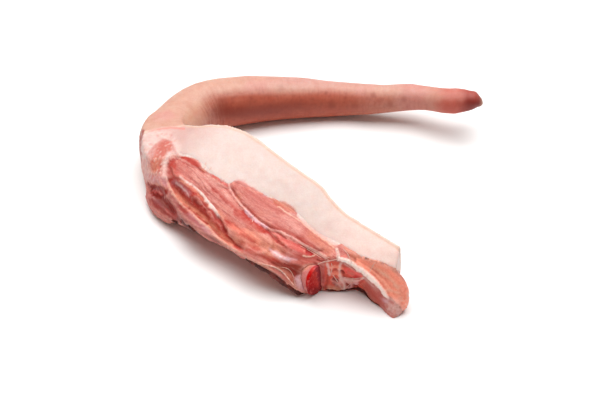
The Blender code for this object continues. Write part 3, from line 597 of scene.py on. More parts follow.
LEAN_SEEN = [  # what the photograph shows of the lean, closed well below it
    (118, 168), (143, 163.5), (150, 150), (160, 138.5), (171, 139.5), (176, 150), (179.5, 156.6),
    (187, 156.4), (194.5, 159), (200.7, 163), (201.5, 167.5), (207, 171.5), (214.5, 175.6), (219.5, 178),
    (226, 182), (229.5, 185.5), (230.4, 182.6), (235.7, 180.4), (244.5, 183), (257, 190), (264.5, 196),
    (271, 198.5), (282.5, 201), (292.5, 206), (297, 211.5), (296, 216), (302.5, 222), (315, 232.5),
    (325, 240), (334, 246.5), (338, 244.5), (342, 244.2), (350, 248.4), (360, 255), (367.5, 258.7),
    (380, 261), (390, 265.5), (398, 270.5), (408, 274), (430, 290), (430, 335), (300, 335), (118, 250),
]
LEAN_EDGE, FACING_EDGE = (0.7, -0.7), (0.0, 0.25)
FAT_REACHES = (9.0, 5.0)                 # how far from the fat, in mm, the lean may be painted as fat
CLOUD_SHARE, CLOUD_EDGE = 0.6, (0.0, 0.6)    # redder, more orange or rosier clouds in meat and fat
STRAY_ACROSS, STRAY_DOWN = (0.6, 0.45), (0.5, 0.45)   # pixels that painted edges stray: broadly, finely


def seen_places(places, outward):
    """Where points stand in the photograph, with a little waver, how far they face it, and ripples."""
    seeds = {6: 11, 2: 12, 20: 13, 1: 14}
    ripples = {f"{size} mm": ripple(places, size * MM, seed) for size, seed in seeds.items()}
    across = STRAY_ACROSS[0] * ripples["6 mm"] + STRAY_ACROSS[1] * ripples["2 mm"]
    down = STRAY_DOWN[0] * ripple(places, 5 * MM, 15) - STRAY_DOWN[1] * ripples["1 mm"]
    return photo_pixel(places) + np.stack([across, down], axis=1), -(outward @ LOOK_ALONG), ripples


# The lean and the fat as one body: near the joint both pieces take its outer face.
whole = even_copy(["skin_and_fat", "lean_meat"], "whole", GUIDE_VOXEL, GUIDE_SMOOTHING, GUIDE_GROWTH)
whole_tree = tree_of(whole.data)
bpy.data.objects.remove(whole)


def close_seam(places, outward, other_node):
    """The places with the outer faces near the joint brought onto one face, and how far each one is
    from the other node, in millimetres. The rim of each piece goes on a little into the other one
    and dips under its face, so that the two cross at the joint and leave no groove."""
    other = tree_of(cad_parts[other_node].data)
    moved, gaps = places.copy(), np.full(len(places), 99.0)
    for number, place in enumerate(places):
        gap = other.find_nearest(place, NEAR_SEAM * MM)[3]
        if gap is None:
            continue
        gaps[number] = gap / MM
        spot, normal, _, depth = whole_tree.find_nearest(place)
        shallow = soft_step(*SHALLOW, depth / MM)
        share = soft_step(SEAM_FADES, SEAM_WHOLE, gap / MM) * shallow
        moved[number] += (np.array(spot - normal * GUIDE_GROWTH * MM) - place) * share
        sideways = outward[number] - np.array(normal) * (outward[number] @ normal) * shallow
        dip = np.array(normal) * RIM_DIP * shallow * math.hypot(*sideways)
        moved[number] += (sideways * RIM_OVER - dip) * MM * soft_step(*RIM_WIDTH, gap / MM)
    return moved, gaps


def muscle_base(places, ripples):
    """Bare muscle, redder in some clouds and more orange in others."""
    clouds = ripples["20 mm"] + 0.5 * ripples["6 mm"]
    paint = one_colour(TISSUE["muscle"][0], places)
    paint = lay(paint, CLOUD_SHARE * soft_step(*CLOUD_EDGE, clouds), TISSUE["red muscle"][0])
    return lay(paint, CLOUD_SHARE * soft_step(*CLOUD_EDGE, -clouds), TISSUE["orange"][0])


def fat_base(places, ripples):
    """Bare back fat, rosy in some clouds."""
    rosy = ROSY_FAT_SHARE * soft_step(*CLOUD_EDGE, ripples["20 mm"])
    return lay(one_colour(FAT_COLOUR, places), rosy, ROSY_FAT_COLOUR)


IN_SIGHT = (-0.15, 0.12)                 # how far a place faces the view to be painted from it
RAGGED = (0.25, 0.35)                    # how far ripples move a feature's edge: fine ones, broad ones
GRAIN_TINTS = (  # share, where it comes in, which waves of the grain, and colour
    (0.35, (0.05, 0.7), "dark bundles", SEAM_COLOUR),
    (0.3, (0.1, 0.7), "pale bundles", FIBRE_COLOUR),
    (0.2, (0.1, 0.6), "threads", SEAM_COLOUR),
)
BUNDLE_RELIEF, THREAD_RELIEF, LUMP_RELIEF = 0.22, 0.1, 0.25


def muscle_grain_at(true_pixels, places):
    """For each place: how far it is along and across the grain, and into the meat."""
    along, aside = np.zeros(len(places)), np.full(len(places), np.inf)
    for number, guide in enumerate(MUSCLE_GUIDES):
        side, run = by_route(true_pixels, smooth_route(guide, 3))
        closer = np.abs(side) < np.abs(aside)
        along = np.where(closer, run + GUIDES_APART * number, along)
        aside = np.where(closer, side, aside)
    return np.stack([along, aside, places[:, 1] / MM * INTO_MEAT], axis=1)


def lay_features(paint, true_pixels, pixels, facing, places, ripples, fat_share):
    """Lays the features of the cut face over paint. It gives the new paint, the relief in
    millimetres, the share of muscle grain, the wetness, and places along and across the grain."""
    grain_place = muscle_grain_at(true_pixels, places)
    bundles = ripple(grain_place * (1 / np.array(BUNDLE_SIZE)), 1.0, 16)
    threads = ripple(grain_place * (1 / np.array(THREAD_SIZE)), 1.0, 17)

    _, muscle_grain, muscle_roughness = TISSUE["muscle"]
    grain_share = muscle_grain * (1 - fat_share)
    rough_share = muscle_roughness + (FAT_ROUGHNESS - muscle_roughness) * fat_share
    relief = np.zeros(len(places))
    in_sight = soft_step(*IN_SIGHT, facing)
    for tissue, strength, half_width, softness, height, points in LEAN_FEATURES.values():
        reach = max(half_width, 1) + softness + 2
        low, high = np.min(points, axis=0) - reach, np.max(points, axis=0) + reach
        near = np.flatnonzero(((pixels > low) & (pixels < high)).all(axis=1) & (in_sight > 0))
        if len(near) == 0:
            continue
        if half_width:
            depth = half_width - off_route(pixels[near], points)
        else:
            depth = inside_by(pixels[near], points)
        depth += softness * (RAGGED[0] * ripples["2 mm"][near] + RAGGED[1] * ripples["6 mm"][near])
        share = strength * soft_step(-softness / 2, softness / 2, depth) * in_sight[near]
        colour, muscle_grain, roughness = TISSUE[tissue]
        paint[near] = lay(paint[near], share, colour)
        grain_share[near] += (muscle_grain - grain_share[near]) * share
        rough_share[near] += (roughness - rough_share[near]) * share
        relief[near] += height * share / strength
    grain_share *= 1 - GRAIN_LOST * soft_step(*SMOOTH_EDGE, inside_by(pixels, SMOOTH_FLESH))
    # Torn tissue is rough all over.
    for height, outline in TORN_PLACES.values():
        torn = soft_step(*TORN_EDGE, inside_by(true_pixels, outline)) * in_sight
        relief += height * torn * (ripples["2 mm"] + 0.6 * ripples["1 mm"])
        paint = lay(paint, TORN_TINT * torn * soft_step(0.1, 0.6, ripples["2 mm"]), TISSUE["white"][0])
        paint = lay(paint, TORN_TINT * torn * soft_step(0.1, 0.6, -ripples["2 mm"]), TISSUE["rosy"][0])
    # Bundles of fibres show as soft darker seams, and the finest ones as threads.
    waves = {"dark bundles": bundles, "pale bundles": -bundles, "threads": threads}
    for share, edge, wave, colour in GRAIN_TINTS:
        paint = lay(paint, share * grain_share * soft_step(*edge, waves[wave]), colour)
    relief -= grain_share * (BUNDLE_RELIEF * bundles + THREAD_RELIEF * threads
                             - LUMP_RELIEF * ripple(places, 4 * MM, 18))
    return paint, relief, grain_share, 1 - rough_share, grain_place


def hollowness(piece, places, outward, rounds=14):
    """How far each vertex lies below the mean of those around it, in millimetres."""
    pairs = np.zeros(len(piece.data.edges) * 2, int)
    piece.data.edges.foreach_get("vertices", pairs)
    one, other = pairs.reshape(-1, 2).T
    count = len(places)
    neighbours = np.bincount(pairs, minlength=count)[:, None]
    evened = places
    for _ in range(rounds):
        sums = [np.bincount(one, evened[other, k], count) + np.bincount(other, evened[one, k], count)
                for k in range(3)]
        evened = np.stack(sums, axis=1) / neighbours
    return ((evened - places) * outward).sum(axis=1) / MM


GREEN_OF_FLESH = (0.45, 0.3)             # paint with less green than this is flesh, not film or fat
PAINTED_CREASE_SHADE, PAINTED_CREST_LIGHT = (0.6, (0.03, 0.45)), (0.3, (0.03, 0.4))    # share, and depth or height in mm

lean = even_copy(["lean_meat"], "lean_meat_piece", LEAN_VOXEL, LEAN_SMOOTHING)
places, outward = points_of(lean)
true_pixels = photo_pixel(places)
pixels, facing, ripples = seen_places(places, outward)
places, at_seam = close_seam(places, outward, "skin_and_fat")
fat_share = soft_step(*LEAN_EDGE, inside_by(pixels, LEAN_SEEN)) * soft_step(*FACING_EDGE, facing)
fat_share *= soft_step(*FAT_REACHES, at_seam)
paint = lay(muscle_base(places, ripples), fat_share, fat_base(places, ripples))
paint, relief, grain_share, wet, grain_place = lay_features(
    paint, true_pixels, pixels, facing, places, ripples, fat_share)
places += outward * (relief * MM)[:, None]
hollow = hollowness(lean, places, outward)
is_flesh = soft_step(*GREEN_OF_FLESH, paint[:, 1]) * (1 - fat_share)
# Painted shade darkens the flesh in its creases, and painted light makes it paler on its crests.
paint = lay(paint, PAINTED_CREASE_SHADE[0] * soft_step(*PAINTED_CREASE_SHADE[1], hollow) * is_flesh, PAINTED_CREASE_SHADE_COLOUR)
paint = lay(paint, PAINTED_CREST_LIGHT[0] * soft_step(*PAINTED_CREST_LIGHT[1], -hollow) * is_flesh, PAINTED_CREST_LIGHT_COLOUR)
keep_values(lean, paint=paint, grain_share=grain_share, wet=wet, grain_place=grain_place)
finish_shape(lean, places)

# Raw lean pork: wet, grained along the muscle, red where it is thick and pale where a film lies on it.
FIBRE_DARK, FIBRE_PALE = (0.86, 0.66, 0.62), (1.1, 1.2, 1.2)
SPECK_DARK, SPECK_PALE = (0.93, 0.84, 0.82), (1.06, 1.14, 1.14)
material, tree, shader = new_material("raw lean pork with its fasciae")
own = add(tree, "Attribute", attribute_name="paint").outputs["Vector"]
grained = add(tree, "Attribute", attribute_name="grain_share").outputs["Fac"]
wet = add(tree, "Attribute", attribute_name="wet").outputs["Fac"]
along_grain = add(tree, "Attribute", attribute_name="grain_place").outputs["Vector"]
object_place = add(tree, "TexCoord").outputs["Object"]
# A fibre is about 0.4 mm wide and 5 mm long here, as coarse as a bundle of real ones, so that it shows.
fibre_place = add(tree, "VectorMath", {0: along_grain, 1: (0.12, 1.6, 0.8)}, operation="MULTIPLY").outputs[0]
fibres = add(tree, "TexNoise", {
    "Vector": fibre_place, "Scale": 1.0, "Detail": 4.0, "Roughness": 0.65}).outputs["Fac"]
# Specks are about 1 mm across, and clouds 5 mm.
speckle = add(tree, "TexNoise", {
    "Vector": object_place, "Scale": 900.0, "Detail": 3.0, "Roughness": 0.6}).outputs["Fac"]
cloud = add(tree, "TexNoise", {
    "Vector": object_place, "Scale": 180.0, "Detail": 4.0, "Roughness": 0.6}).outputs["Fac"]
# Dark fibres and specks are redder than the paint, pale ones lighter.
colour = tinted(tree, own, fibres, (0.32, 0.68), FIBRE_DARK, FIBRE_PALE, grained)
colour = tinted(tree, colour, speckle, (0.3, 0.7), SPECK_DARK, SPECK_PALE)
fill(tree, shader, {
    "Base Color": colour,
    "Normal": fine_relief(tree, 0.6, 0.5, (fibres, grained), (cloud, 0.8), (speckle, 0.25)),
    "Roughness": dried_by(tree, wet, speckle, 0.12), "IOR": 1.4, "Specular IOR Level": 0.2,
    "Coat Weight": 0.05, "Coat Roughness": 0.18, "Subsurface Weight": 0.2,
    "Subsurface Radius": (1.0, 0.25, 0.15), "Subsurface Scale": 2.0 * MM})
lean.data.materials.append(material)
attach(lean, "root")
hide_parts("lean_meat")

# ==== The skin and the back fat ====================================================================
# The tail is whole in its scraped skin, fine-pored and wrinkled across at the bend. On the rump the
# skin stays on the back, and the firm back fat is cut through, so its upper face shows a rim of rind.
SPINE_FROM_AIM = [  # millimetres seen from above, from the rump's cut end round the bend to the tip
    (80.0, -121.8), (4.2, -56.4), (-56.4, -4.2), (-71.5, 8.9), (-82.0, 21.5), (-88.0, 36.0),
    (-88.4, 47.5), (-85.4, 56.5), (-81.4, 65.2), (-75.8, 75.0), (-69.3, 82.8), (-63.0, 87.2),
    (-55.0, 90.2), (-44.0, 92.6), (-27.5, 96.6), (0.0, 100.3), (27.6, 100.8), (48.4, 97.3),
    (69.0, 94.6), (83.0, 91.0), (93.0, 85.9), (102.5, 80.9), (112.5, 80.7), (123.5, 79.8),
]
CUT_END_TO_JUNCTION = 221.0   # along the spine, from its first point to where the tail begins
SPINE_LENGTH, SPINE_STEP = 520, 2.0
SKIN_VOXEL, SKIN_SMOOTHING = 0.85, 6
SKIN_WETNESS = 0.54           # one less the roughness

ROOT_LINE = [  # the lower edge of the tail's own skin, where it ends on the fat
    (120, 190), (137, 166), (139.5, 140), (141, 131), (149.5, 130.6), (158.7, 127.6), (173.6, 126.5),
    (184, 124.5), (200, 124), (210, 123), (220, 123.5), (232, 121), (250, 100),
]
RUMP_BEYOND, TAIL_BEYOND = 60, -45       # in mm along the spine: all rump past one, all tail past the other
BACK_LEAN, BACK_AHEAD, BACK_EDGE = 0.75, 0.6, (-0.12, 0.12)   # which way the outside of the rind faces

skin = even_copy(["skin_and_fat"], "skin_and_fat_piece", SKIN_VOXEL, SKIN_SMOOTHING)
places, outward = points_of(skin)
pixels = photo_pixel(places)
x, y = pixels.T
wavering_pixels, facing, ripples = seen_places(places, outward)
wobble, fine_wobble, broad = ripples["6 mm"], ripples["2 mm"], ripples["20 mm"]

# Places along, across and up from the piece's spine, and which way each point faces from it.
spine = smooth_route(SPINE_FROM_AIM, 3) + np.array(AIM)[:2] / MM
across, run = by_route(places[:, :2] / MM, spine)
across, along = -across, CUT_END_TO_JUNCTION - run
up = places[:, 2] / MM
walked = np.concatenate([[0], np.cumsum(np.hypot(*np.diff(spine, axis=0).T))])
stations = np.arange(0, SPINE_LENGTH, SPINE_STEP)
slopes = [np.gradient(np.interp(stations, walked, spine[:, k])) for k in (0, 1)]
ahead = np.stack([np.interp(run, stations, slope) for slope in slopes], axis=1)
ahead /= np.linalg.norm(ahead, axis=1)[:, None]
out_across = outward[:, 0] * ahead[:, 1] - outward[:, 1] * ahead[:, 0]
out_along = -(outward[:, 0] * ahead[:, 0] + outward[:, 1] * ahead[:, 1])

below_root = by_route(pixels, smooth_route(ROOT_LINE))[0]
of_rump = soft_step(-1.0, 1.0, np.where(facing > 0, below_root + 0.8 * wobble, (along + 2) / 1.5))
of_rump = np.where(along > RUMP_BEYOND, 1.0, np.where(along < TAIL_BEYOND, 0.0, of_rump))
back_share = out_across - BACK_LEAN * np.abs(outward[:, 2]) - BACK_AHEAD * np.clip(out_along, 0, 1)
is_fat = of_rump * (1 - soft_step(*BACK_EDGE, back_share))

# How far each point of the cut faces is from the outside of the skin, in millimetres.
outside = np.flatnonzero(is_fat < 0.5)
tree = kdtree.KDTree(len(outside))
for number, vertex in enumerate(outside):
    tree.insert(places[vertex], number)
tree.balance()
from_skin = np.zeros(len(places))
for vertex in np.flatnonzero(is_fat >= 0.5):
    from_skin[vertex] = tree.find(places[vertex])[2] / MM

# The skin: pale and rosy on top; red-brown and blotched low on the tail, and darker there with painted shade;
# dark red at its end, and darker under the tip and the end, partly painted shade.
SKIN_COLOUR, PINK_CLOUD, RED_STREAK, DARK_MOTTLE, BLOTCH = "CC9C8A", "CF8F8A", "93402F", "7E352C", "8A3E2E"
UPPER_SIDE_ROSE, UPPER_SIDE_X, UPPER_SIDE_Y = "C99491", (250, 300), (94, 80)
ROSE_BEFORE_TIP, ROSE_STARTS_X, ROSE_ENDS_X = "CB877F", (395, 410), (437, 420)
DARK_SKIN_AND_SHADE, DARK_SKIN_AND_SHADE_EDGE, DARK_FADES_X = "AF4E35", (-5.0, 7.0), (330, 425)
DARK_GROWS_X, DARK_STARTS_X = (198, 230), (194, 212)
DARK_TOP = [  # the upper limit of the dark lower half of the tail: red-brown skin and painted shade
    (196, 130), (196, 103), (206, 93), (228, 92.6), (250, 91), (273, 92), (291, 91.4), (300, 91),
    (325, 88.7), (350, 91), (375, 92.4), (400, 95), (424, 98), (432, 104), (437, 125),
]
# Painted shade: a darker core low on the tail's near side, fading out towards the tip.
PAINTED_SHADE_CORE_COLOUR, PAINTED_SHADE_CORE_WIDTH, PAINTED_SHADE_CORE_FADES_X = "7E2C1E", (11, 1), (265, 345)
PAINTED_SHADE_CORE = [(212, 112), (235, 112), (262, 111), (290, 107), (320, 105), (350, 104), (380, 104), (405, 104)]
BLOTCH_EDGE = (1.2, 0.2)
TAIL_BLOTCHES = [  # photo pixel, radius in pixels, strength
    (222, 104, 8, 0.7), (326, 93, 2.5, 0.7), (332, 105, 5, 0.9), (373, 95, 3.5, 0.6), (404, 99, 4, 0.6),
    (281, 88, 5, 0.3), (252, 102, 7, 0.35), (447, 108, 2.5, 0.7), (300, 104, 6, 0.3), (355, 106, 5, 0.4),
    (390, 104, 4, 0.4), (345, 98, 3, 0.3), (312, 99, 3, 0.4),
]
INNER_BEND_COLOUR, INNER_BEND_EDGE = "C9906E", (-6, 6)
INNER_BEND = [(184, 122), (188, 108), (197, 103), (207, 104), (208, 120), (200, 124)]
# Under the tip and the end the skin is darker, partly with painted shade.
TIP_COLOUR, SHADED_UNDER_TIP_COLOUR, UNDER_TIP_Y = "C26C60", "BC5A4B", (96, 107)
TIP_RED_FROM, TIP_EDGE = 437.0, (-14, 14)
END_COLOUR, SHADED_UNDER_END_COLOUR, END_X, UNDER_END_Y = "9A3B33", "802419", (455, 474), (94, 104)
CUT_TIP_COLOUR, CUT_TIP_X = "C09A86", (477.5, 482.5)

# Streaks run along the skin's wrinkles.
streak = ripple(np.stack([along / 1.3, across / 9, up / 9], axis=1) * MM, 1 * MM, 5)
dark_depth = inside_by(pixels + np.stack([1.5 * wobble, 1.5 * broad], axis=1), DARK_TOP)
dark = soft_step(*DARK_SKIN_AND_SHADE_EDGE, dark_depth) * (1 - 0.6 * soft_step(*DARK_FADES_X, x))
dark *= 0.4 + 0.6 * soft_step(*DARK_GROWS_X, x + 7 * streak)
dark *= soft_step(*DARK_STARTS_X, x + 5 * streak)
core = soft_step(*PAINTED_SHADE_CORE_WIDTH, off_route(pixels, PAINTED_SHADE_CORE) + 2 * wobble)
tip = soft_step(*TIP_EDGE, x - TIP_RED_FROM + 3 * wobble)
red_end = soft_step(*END_X, x + 3 * wobble)
blotches = [(0.75 * strength * soft_step(*BLOTCH_EDGE, np.hypot(x - blotch_x, y - blotch_y) / radius
                                         + 0.25 * fine_wobble), BLOTCH)
            for blotch_x, blotch_y, radius, strength in TAIL_BLOTCHES]
paint = one_colour(SKIN_COLOUR, places)
for share, colour in (
        (0.5 * soft_step(*UPPER_SIDE_X, x) * soft_step(*UPPER_SIDE_Y, y), UPPER_SIDE_ROSE),
        (0.6 * soft_step(*ROSE_STARTS_X, x) * soft_step(*ROSE_ENDS_X, x), ROSE_BEFORE_TIP),
        # The dark lower half: red-brown skin with painted shade, and painted shade in its core.
        (0.9 * dark, DARK_SKIN_AND_SHADE),
        (0.7 * core * dark * (1 - 0.75 * soft_step(*PAINTED_SHADE_CORE_FADES_X, x)), PAINTED_SHADE_CORE_COLOUR),
        *blotches,
        (0.35 * soft_step(*INNER_BEND_EDGE, inside_by(pixels, INNER_BEND)), INNER_BEND_COLOUR),
        (0.85 * tip, TIP_COLOUR),
        (tip * soft_step(*UNDER_TIP_Y, y + 2 * wobble), SHADED_UNDER_TIP_COLOUR),
        (0.8 * red_end, END_COLOUR),
        (red_end * soft_step(*UNDER_END_Y, y + 2 * wobble), SHADED_UNDER_END_COLOUR),
        (0.75 * soft_step(*CUT_TIP_X, x + 0.6 * wobble), CUT_TIP_COLOUR),
        (0.5 * soft_step(0.1, 0.7, broad + 0.3 * wobble) * (1 - dark) * (1 - tip), PINK_CLOUD),
        ((0.08 + 0.17 * dark) * soft_step(0.0, 0.6, streak) * (1 - of_rump), RED_STREAK),
        (0.25 * soft_step(0.0, 0.6, fine_wobble + 0.4 * wobble) * dark, DARK_MOTTLE)):
    paint = lay(paint, share, colour)

# The back fat: whiter at the cut end, rosy at the root of the tail, with its rind along the rim.
CUT_END_FAT_COLOUR, CUT_END_FAT = "EDCFC6", (110, 170)       # along the spine, in mm
ROOT_FAT_COLOUR, ROOT_FAT = "CC9F97", (36, 0)
RIND, RIND_LINE = 1.9, 0.7    # thickness of the rind on the cut face, and of the line inside it
RIND_COLOUR, RIND_LINE_COLOUR, FAT_BY_RIND_COLOUR, FAT_BY_RIND = "DDC5B8", "D59F82", "D8B7A2", 1.6
PINK_CUT_COLOUR, PINK_CUT_WIDTH = "D98A82", (2.0, 0.4)
PINK_CUT_LINE = [(149.5, 131.6), (158.7, 128.6), (173.6, 127.4), (184, 128.7)]
LEAN_IN_FAT_EDGE = (-0.7, 0.7)
SLIT_AND_SHADE_COLOUR, SLIT_WIDTH, SLIT_FACING, SLIT_DEPTH = "A2342A", (2.4, 0.8), (0.0, 0.1), 0.3
SKIN_SLIT = [(143, 131), (140.6, 138), (139.8, 146), (140.2, 154), (141.4, 160)]

on_rind_line = soft_step(RIND_LINE, 0, np.abs(from_skin - RIND))
fat = fat_base(places, ripples)
for share, colour in (
        (soft_step(*CUT_END_FAT, along), CUT_END_FAT_COLOUR),
        (0.8 * soft_step(*ROOT_FAT, along), ROOT_FAT_COLOUR),
        (soft_step(RIND + FAT_BY_RIND, RIND, from_skin + 0.3 * wobble) * 0.55, FAT_BY_RIND_COLOUR),
        (on_rind_line * 0.6, RIND_LINE_COLOUR),
        (soft_step(RIND, RIND - 0.8, from_skin), RIND_COLOUR),
        (0.8 * soft_step(*PINK_CUT_WIDTH, off_route(pixels, PINK_CUT_LINE)) * (facing > 0), PINK_CUT_COLOUR)):
    fat = lay(fat, share, colour)
lean_share = soft_step(*LEAN_IN_FAT_EDGE, inside_by(wavering_pixels, LEAN_SEEN))
lean_share *= soft_step(*FACING_EDGE, facing) * is_fat
fat = lay(fat, lean_share, muscle_base(places, ripples))
fat, relief, _, wet, _ = lay_features(
    fat, pixels, wavering_pixels, facing * is_fat, places, ripples, 1 - lean_share)
paint = lay(paint, is_fat, fat)
# A dark red strip along the left edge of the root: raw meat, with painted shade where the skin is seen
# edge-on.
in_slit = soft_step(*SLIT_WIDTH, off_route(wavering_pixels, SKIN_SLIT)) * soft_step(*SLIT_FACING, facing)
paint = lay(paint, 0.8 * in_slit * (1 - 0.5 * soft_step(0, 0.5, fine_wobble)), SLIT_AND_SHADE_COLOUR)
wet = wet * is_fat + SKIN_WETNESS * (1 - is_fat)

# The relief, in millimetres. The tip ends blunt and is cut away below.
WAVES, RIND_GROOVE = 0.25, 0.25
BLUNT_END, BLUNT_STARTS_X, BLUNT_STOPS_X = 0.9, (468, 477), (483.5, 480.5)
CUT_BELOW, CUT_BELOW_X, CUT_BELOW_Y = 1.8, (468, 479), (103, 109)
relief -= SLIT_DEPTH * in_slit
relief += WAVES * wobble * is_fat - RIND_GROOVE * is_fat * on_rind_line
relief += WAVES * broad * (1 - is_fat)
relief += BLUNT_END * soft_step(*BLUNT_STARTS_X, x) * soft_step(*BLUNT_STOPS_X, x)
relief -= CUT_BELOW * soft_step(*CUT_BELOW_X, x) * soft_step(*CUT_BELOW_Y, y)
spine_place = np.stack([along, across, up], axis=1) * MM
keep_values(skin, paint=paint, is_fat=is_fat, spine_place=spine_place, wet=wet)
seamed, _ = close_seam(places, outward, "lean_meat")
finish_shape(skin, seamed + outward * (relief * MM)[:, None])

# Raw pork skin and back fat: soft tissue that lets light in, satin rather than shiny.
MOTTLE_DARK, MOTTLE_PALE = (0.96, 0.88, 0.86), (1.03, 1.08, 1.09)
FAT_CALM = 0.5                # how much less mottled the fat is
SKIN_SPECK_DARK, SKIN_SPECK_PALE = (0.97, 0.94, 0.93), (1.02, 1.05, 1.06)
material, tree, shader = new_material("raw pork skin and back fat")
own = add(tree, "Attribute", attribute_name="paint").outputs["Vector"]
fatness = add(tree, "Attribute", attribute_name="is_fat").outputs["Fac"]
spot = add(tree, "Attribute", attribute_name="spine_place").outputs["Vector"]
wet = add(tree, "Attribute", attribute_name="wet").outputs["Fac"]
object_place = add(tree, "TexCoord").outputs["Object"]
# Wrinkles across the tail lie 2 to 3 mm apart, and pores about 1 mm.
wrinkle_place = add(tree, "VectorMath", {0: spot, 1: (420, 60, 60)}, operation="MULTIPLY").outputs[0]
wrinkle = add(tree, "TexNoise", {
    "Vector": wrinkle_place, "Scale": 1.0, "Detail": 3.0, "Roughness": 0.55}).outputs["Fac"]
pores = add(tree, "TexVoronoi", {"Vector": object_place, "Scale": 900.0}).outputs["Distance"]
mottle = add(tree, "TexNoise", {
    "Vector": object_place, "Scale": 160.0, "Detail": 5.0, "Roughness": 0.6}).outputs["Fac"]
grain = add(tree, "TexNoise", {
    "Vector": object_place, "Scale": 1100.0, "Detail": 2.0, "Roughness": 0.6}).outputs["Fac"]
skinness = add(tree, "Math", {0: 1.0, 1: fatness}, operation="SUBTRACT").outputs[0]
lively = add(tree, "Math", {0: fatness, 1: -FAT_CALM, 2: 1.0}, operation="MULTIPLY_ADD").outputs[0]
colour = tinted(tree, own, mottle, (0.32, 0.68), MOTTLE_DARK, MOTTLE_PALE, lively)
colour = tinted(tree, colour, grain, (0.3, 0.7), SKIN_SPECK_DARK, SKIN_SPECK_PALE)
fill(tree, shader, {
    "Base Color": colour,
    "Normal": fine_relief(tree, 0.5, 0.5, (wrinkle, skinness), (pores, 0.12), (mottle, 0.35)),
    "Roughness": dried_by(tree, wet, grain, 0.1), "IOR": 1.4, "Subsurface Weight": 0.25,
    "Subsurface Radius": (1.0, 0.35, 0.2), "Subsurface Scale": 2.5 * MM})
skin.data.materials.append(material)
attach(skin, "root")
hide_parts("skin_and_fat")

# ==== The sawn tail bone ===========================================================================
# One vertebra, sawn through: a ring of hard pale bone round dark marrow, in a sleeve of white
# cartilage. It grew into the lean, and only its end stands free.
BONE_VOXEL, BONE_SMOOTHING, BONE_GROWTH, BONE_RELIEF = 0.4, 4, 0.4, 0.15
BONE_SIDE, BONE_TOP_CREAM, BONE_SIDE_RED = "CC7E78", "E6A283", "C05A55"
DISC_RED, DISC_DARK, DISC_PURPLE_SHEEN, DISC_FOOT_SHADE, DISC_CELLS = "B40202", "C8403A", "923540", "7A0A10", "E07068"
DISC_EDGE = [
    (318, 264.5), (312, 267.5), (307.8, 272.8), (305.6, 280), (305.8, 285), (307.3, 289), (311.2, 294.5),
    (330, 296), (330, 262),
]
RUMP_AHEAD, FACES_AHEAD = np.array((0.757, -0.653, 0)), (0.45, 0.75)   # towards the cut end
# The disc's bands run across it from left to right, and lean over a little. The purple band is a painted
# sheen, and the band at its foot is painted shade.
BAND_LEAN, DARK_BAND, SHEEN_BAND, FOOT_SHADE_Y = 0.25, (310, 318), (316.5, 320), (284, 291)

bone = even_copy(["vertebra"], "vertebra_piece", BONE_VOXEL, BONE_SMOOTHING, BONE_GROWTH)
places, outward = points_of(bone)
pixels = photo_pixel(places)
x, y = pixels.T
wobble = ripple(places, 3 * MM, 21)
on_saw_cut = np.maximum(soft_step(*FACES_AHEAD, outward @ RUMP_AHEAD),
                        soft_step(-0.6, 0.6, inside_by(pixels, DISC_EDGE) + 0.3 * wobble))
into_disc = x + 2 * wobble - BAND_LEAN * (y - 280)
paint = one_colour(BONE_SIDE, places)
for share, colour in (
        (soft_step(272, 266, y + 0.6 * (x - 305)), BONE_TOP_CREAM),
        (0.4 * soft_step(0.0, 0.5, wobble), BONE_SIDE_RED),
        (on_saw_cut, DISC_RED),
        (on_saw_cut * soft_step(*DARK_BAND, into_disc), DISC_DARK),
        # A painted purple sheen on the right of the disc, and painted shade at its foot.
        (0.8 * on_saw_cut * soft_step(*SHEEN_BAND, into_disc), DISC_PURPLE_SHEEN),
        (0.7 * on_saw_cut * soft_step(*FOOT_SHADE_Y, y + 2 * wobble), DISC_FOOT_SHADE),
        (0.5 * on_saw_cut * soft_step(0.1, 0.6, ripple(places, 1.6 * MM, 22)), DISC_CELLS)):
    paint = lay(paint, share, colour)
keep_values(bone, paint=paint)
finish_shape(bone, places + outward * (BONE_RELIEF * wobble * MM)[:, None])

# Spongy bone full of wet marrow: its cells are about 1 mm across, and each one dips a little.
CELL_DARK, CELL_PALE = (0.85, 0.85, 0.85), (1.1, 1.1, 1.1)
material, tree, shader = new_material("sawn bone with marrow")
own = add(tree, "Attribute", attribute_name="paint").outputs["Vector"]
object_place = add(tree, "TexCoord").outputs["Object"]
cells = add(tree, "TexVoronoi", {"Vector": object_place, "Scale": 1100.0}).outputs["Distance"]
fill(tree, shader, {
    "Base Color": tinted(tree, own, cells, (0.0, 0.7), CELL_DARK, CELL_PALE),
    "Normal": fine_relief(tree, 0.4, 0.4, (cells, 1.0)), "Roughness": 0.35, "IOR": 1.4,
    "Specular IOR Level": 0.12, "Coat Weight": 0.03, "Coat Roughness": 0.2, "Subsurface Weight": 0.15,
    "Subsurface Radius": (1.0, 0.25, 0.15), "Subsurface Scale": 1.5 * MM})
bone.data.materials.append(material)
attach(bone, "root")
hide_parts("vertebra")

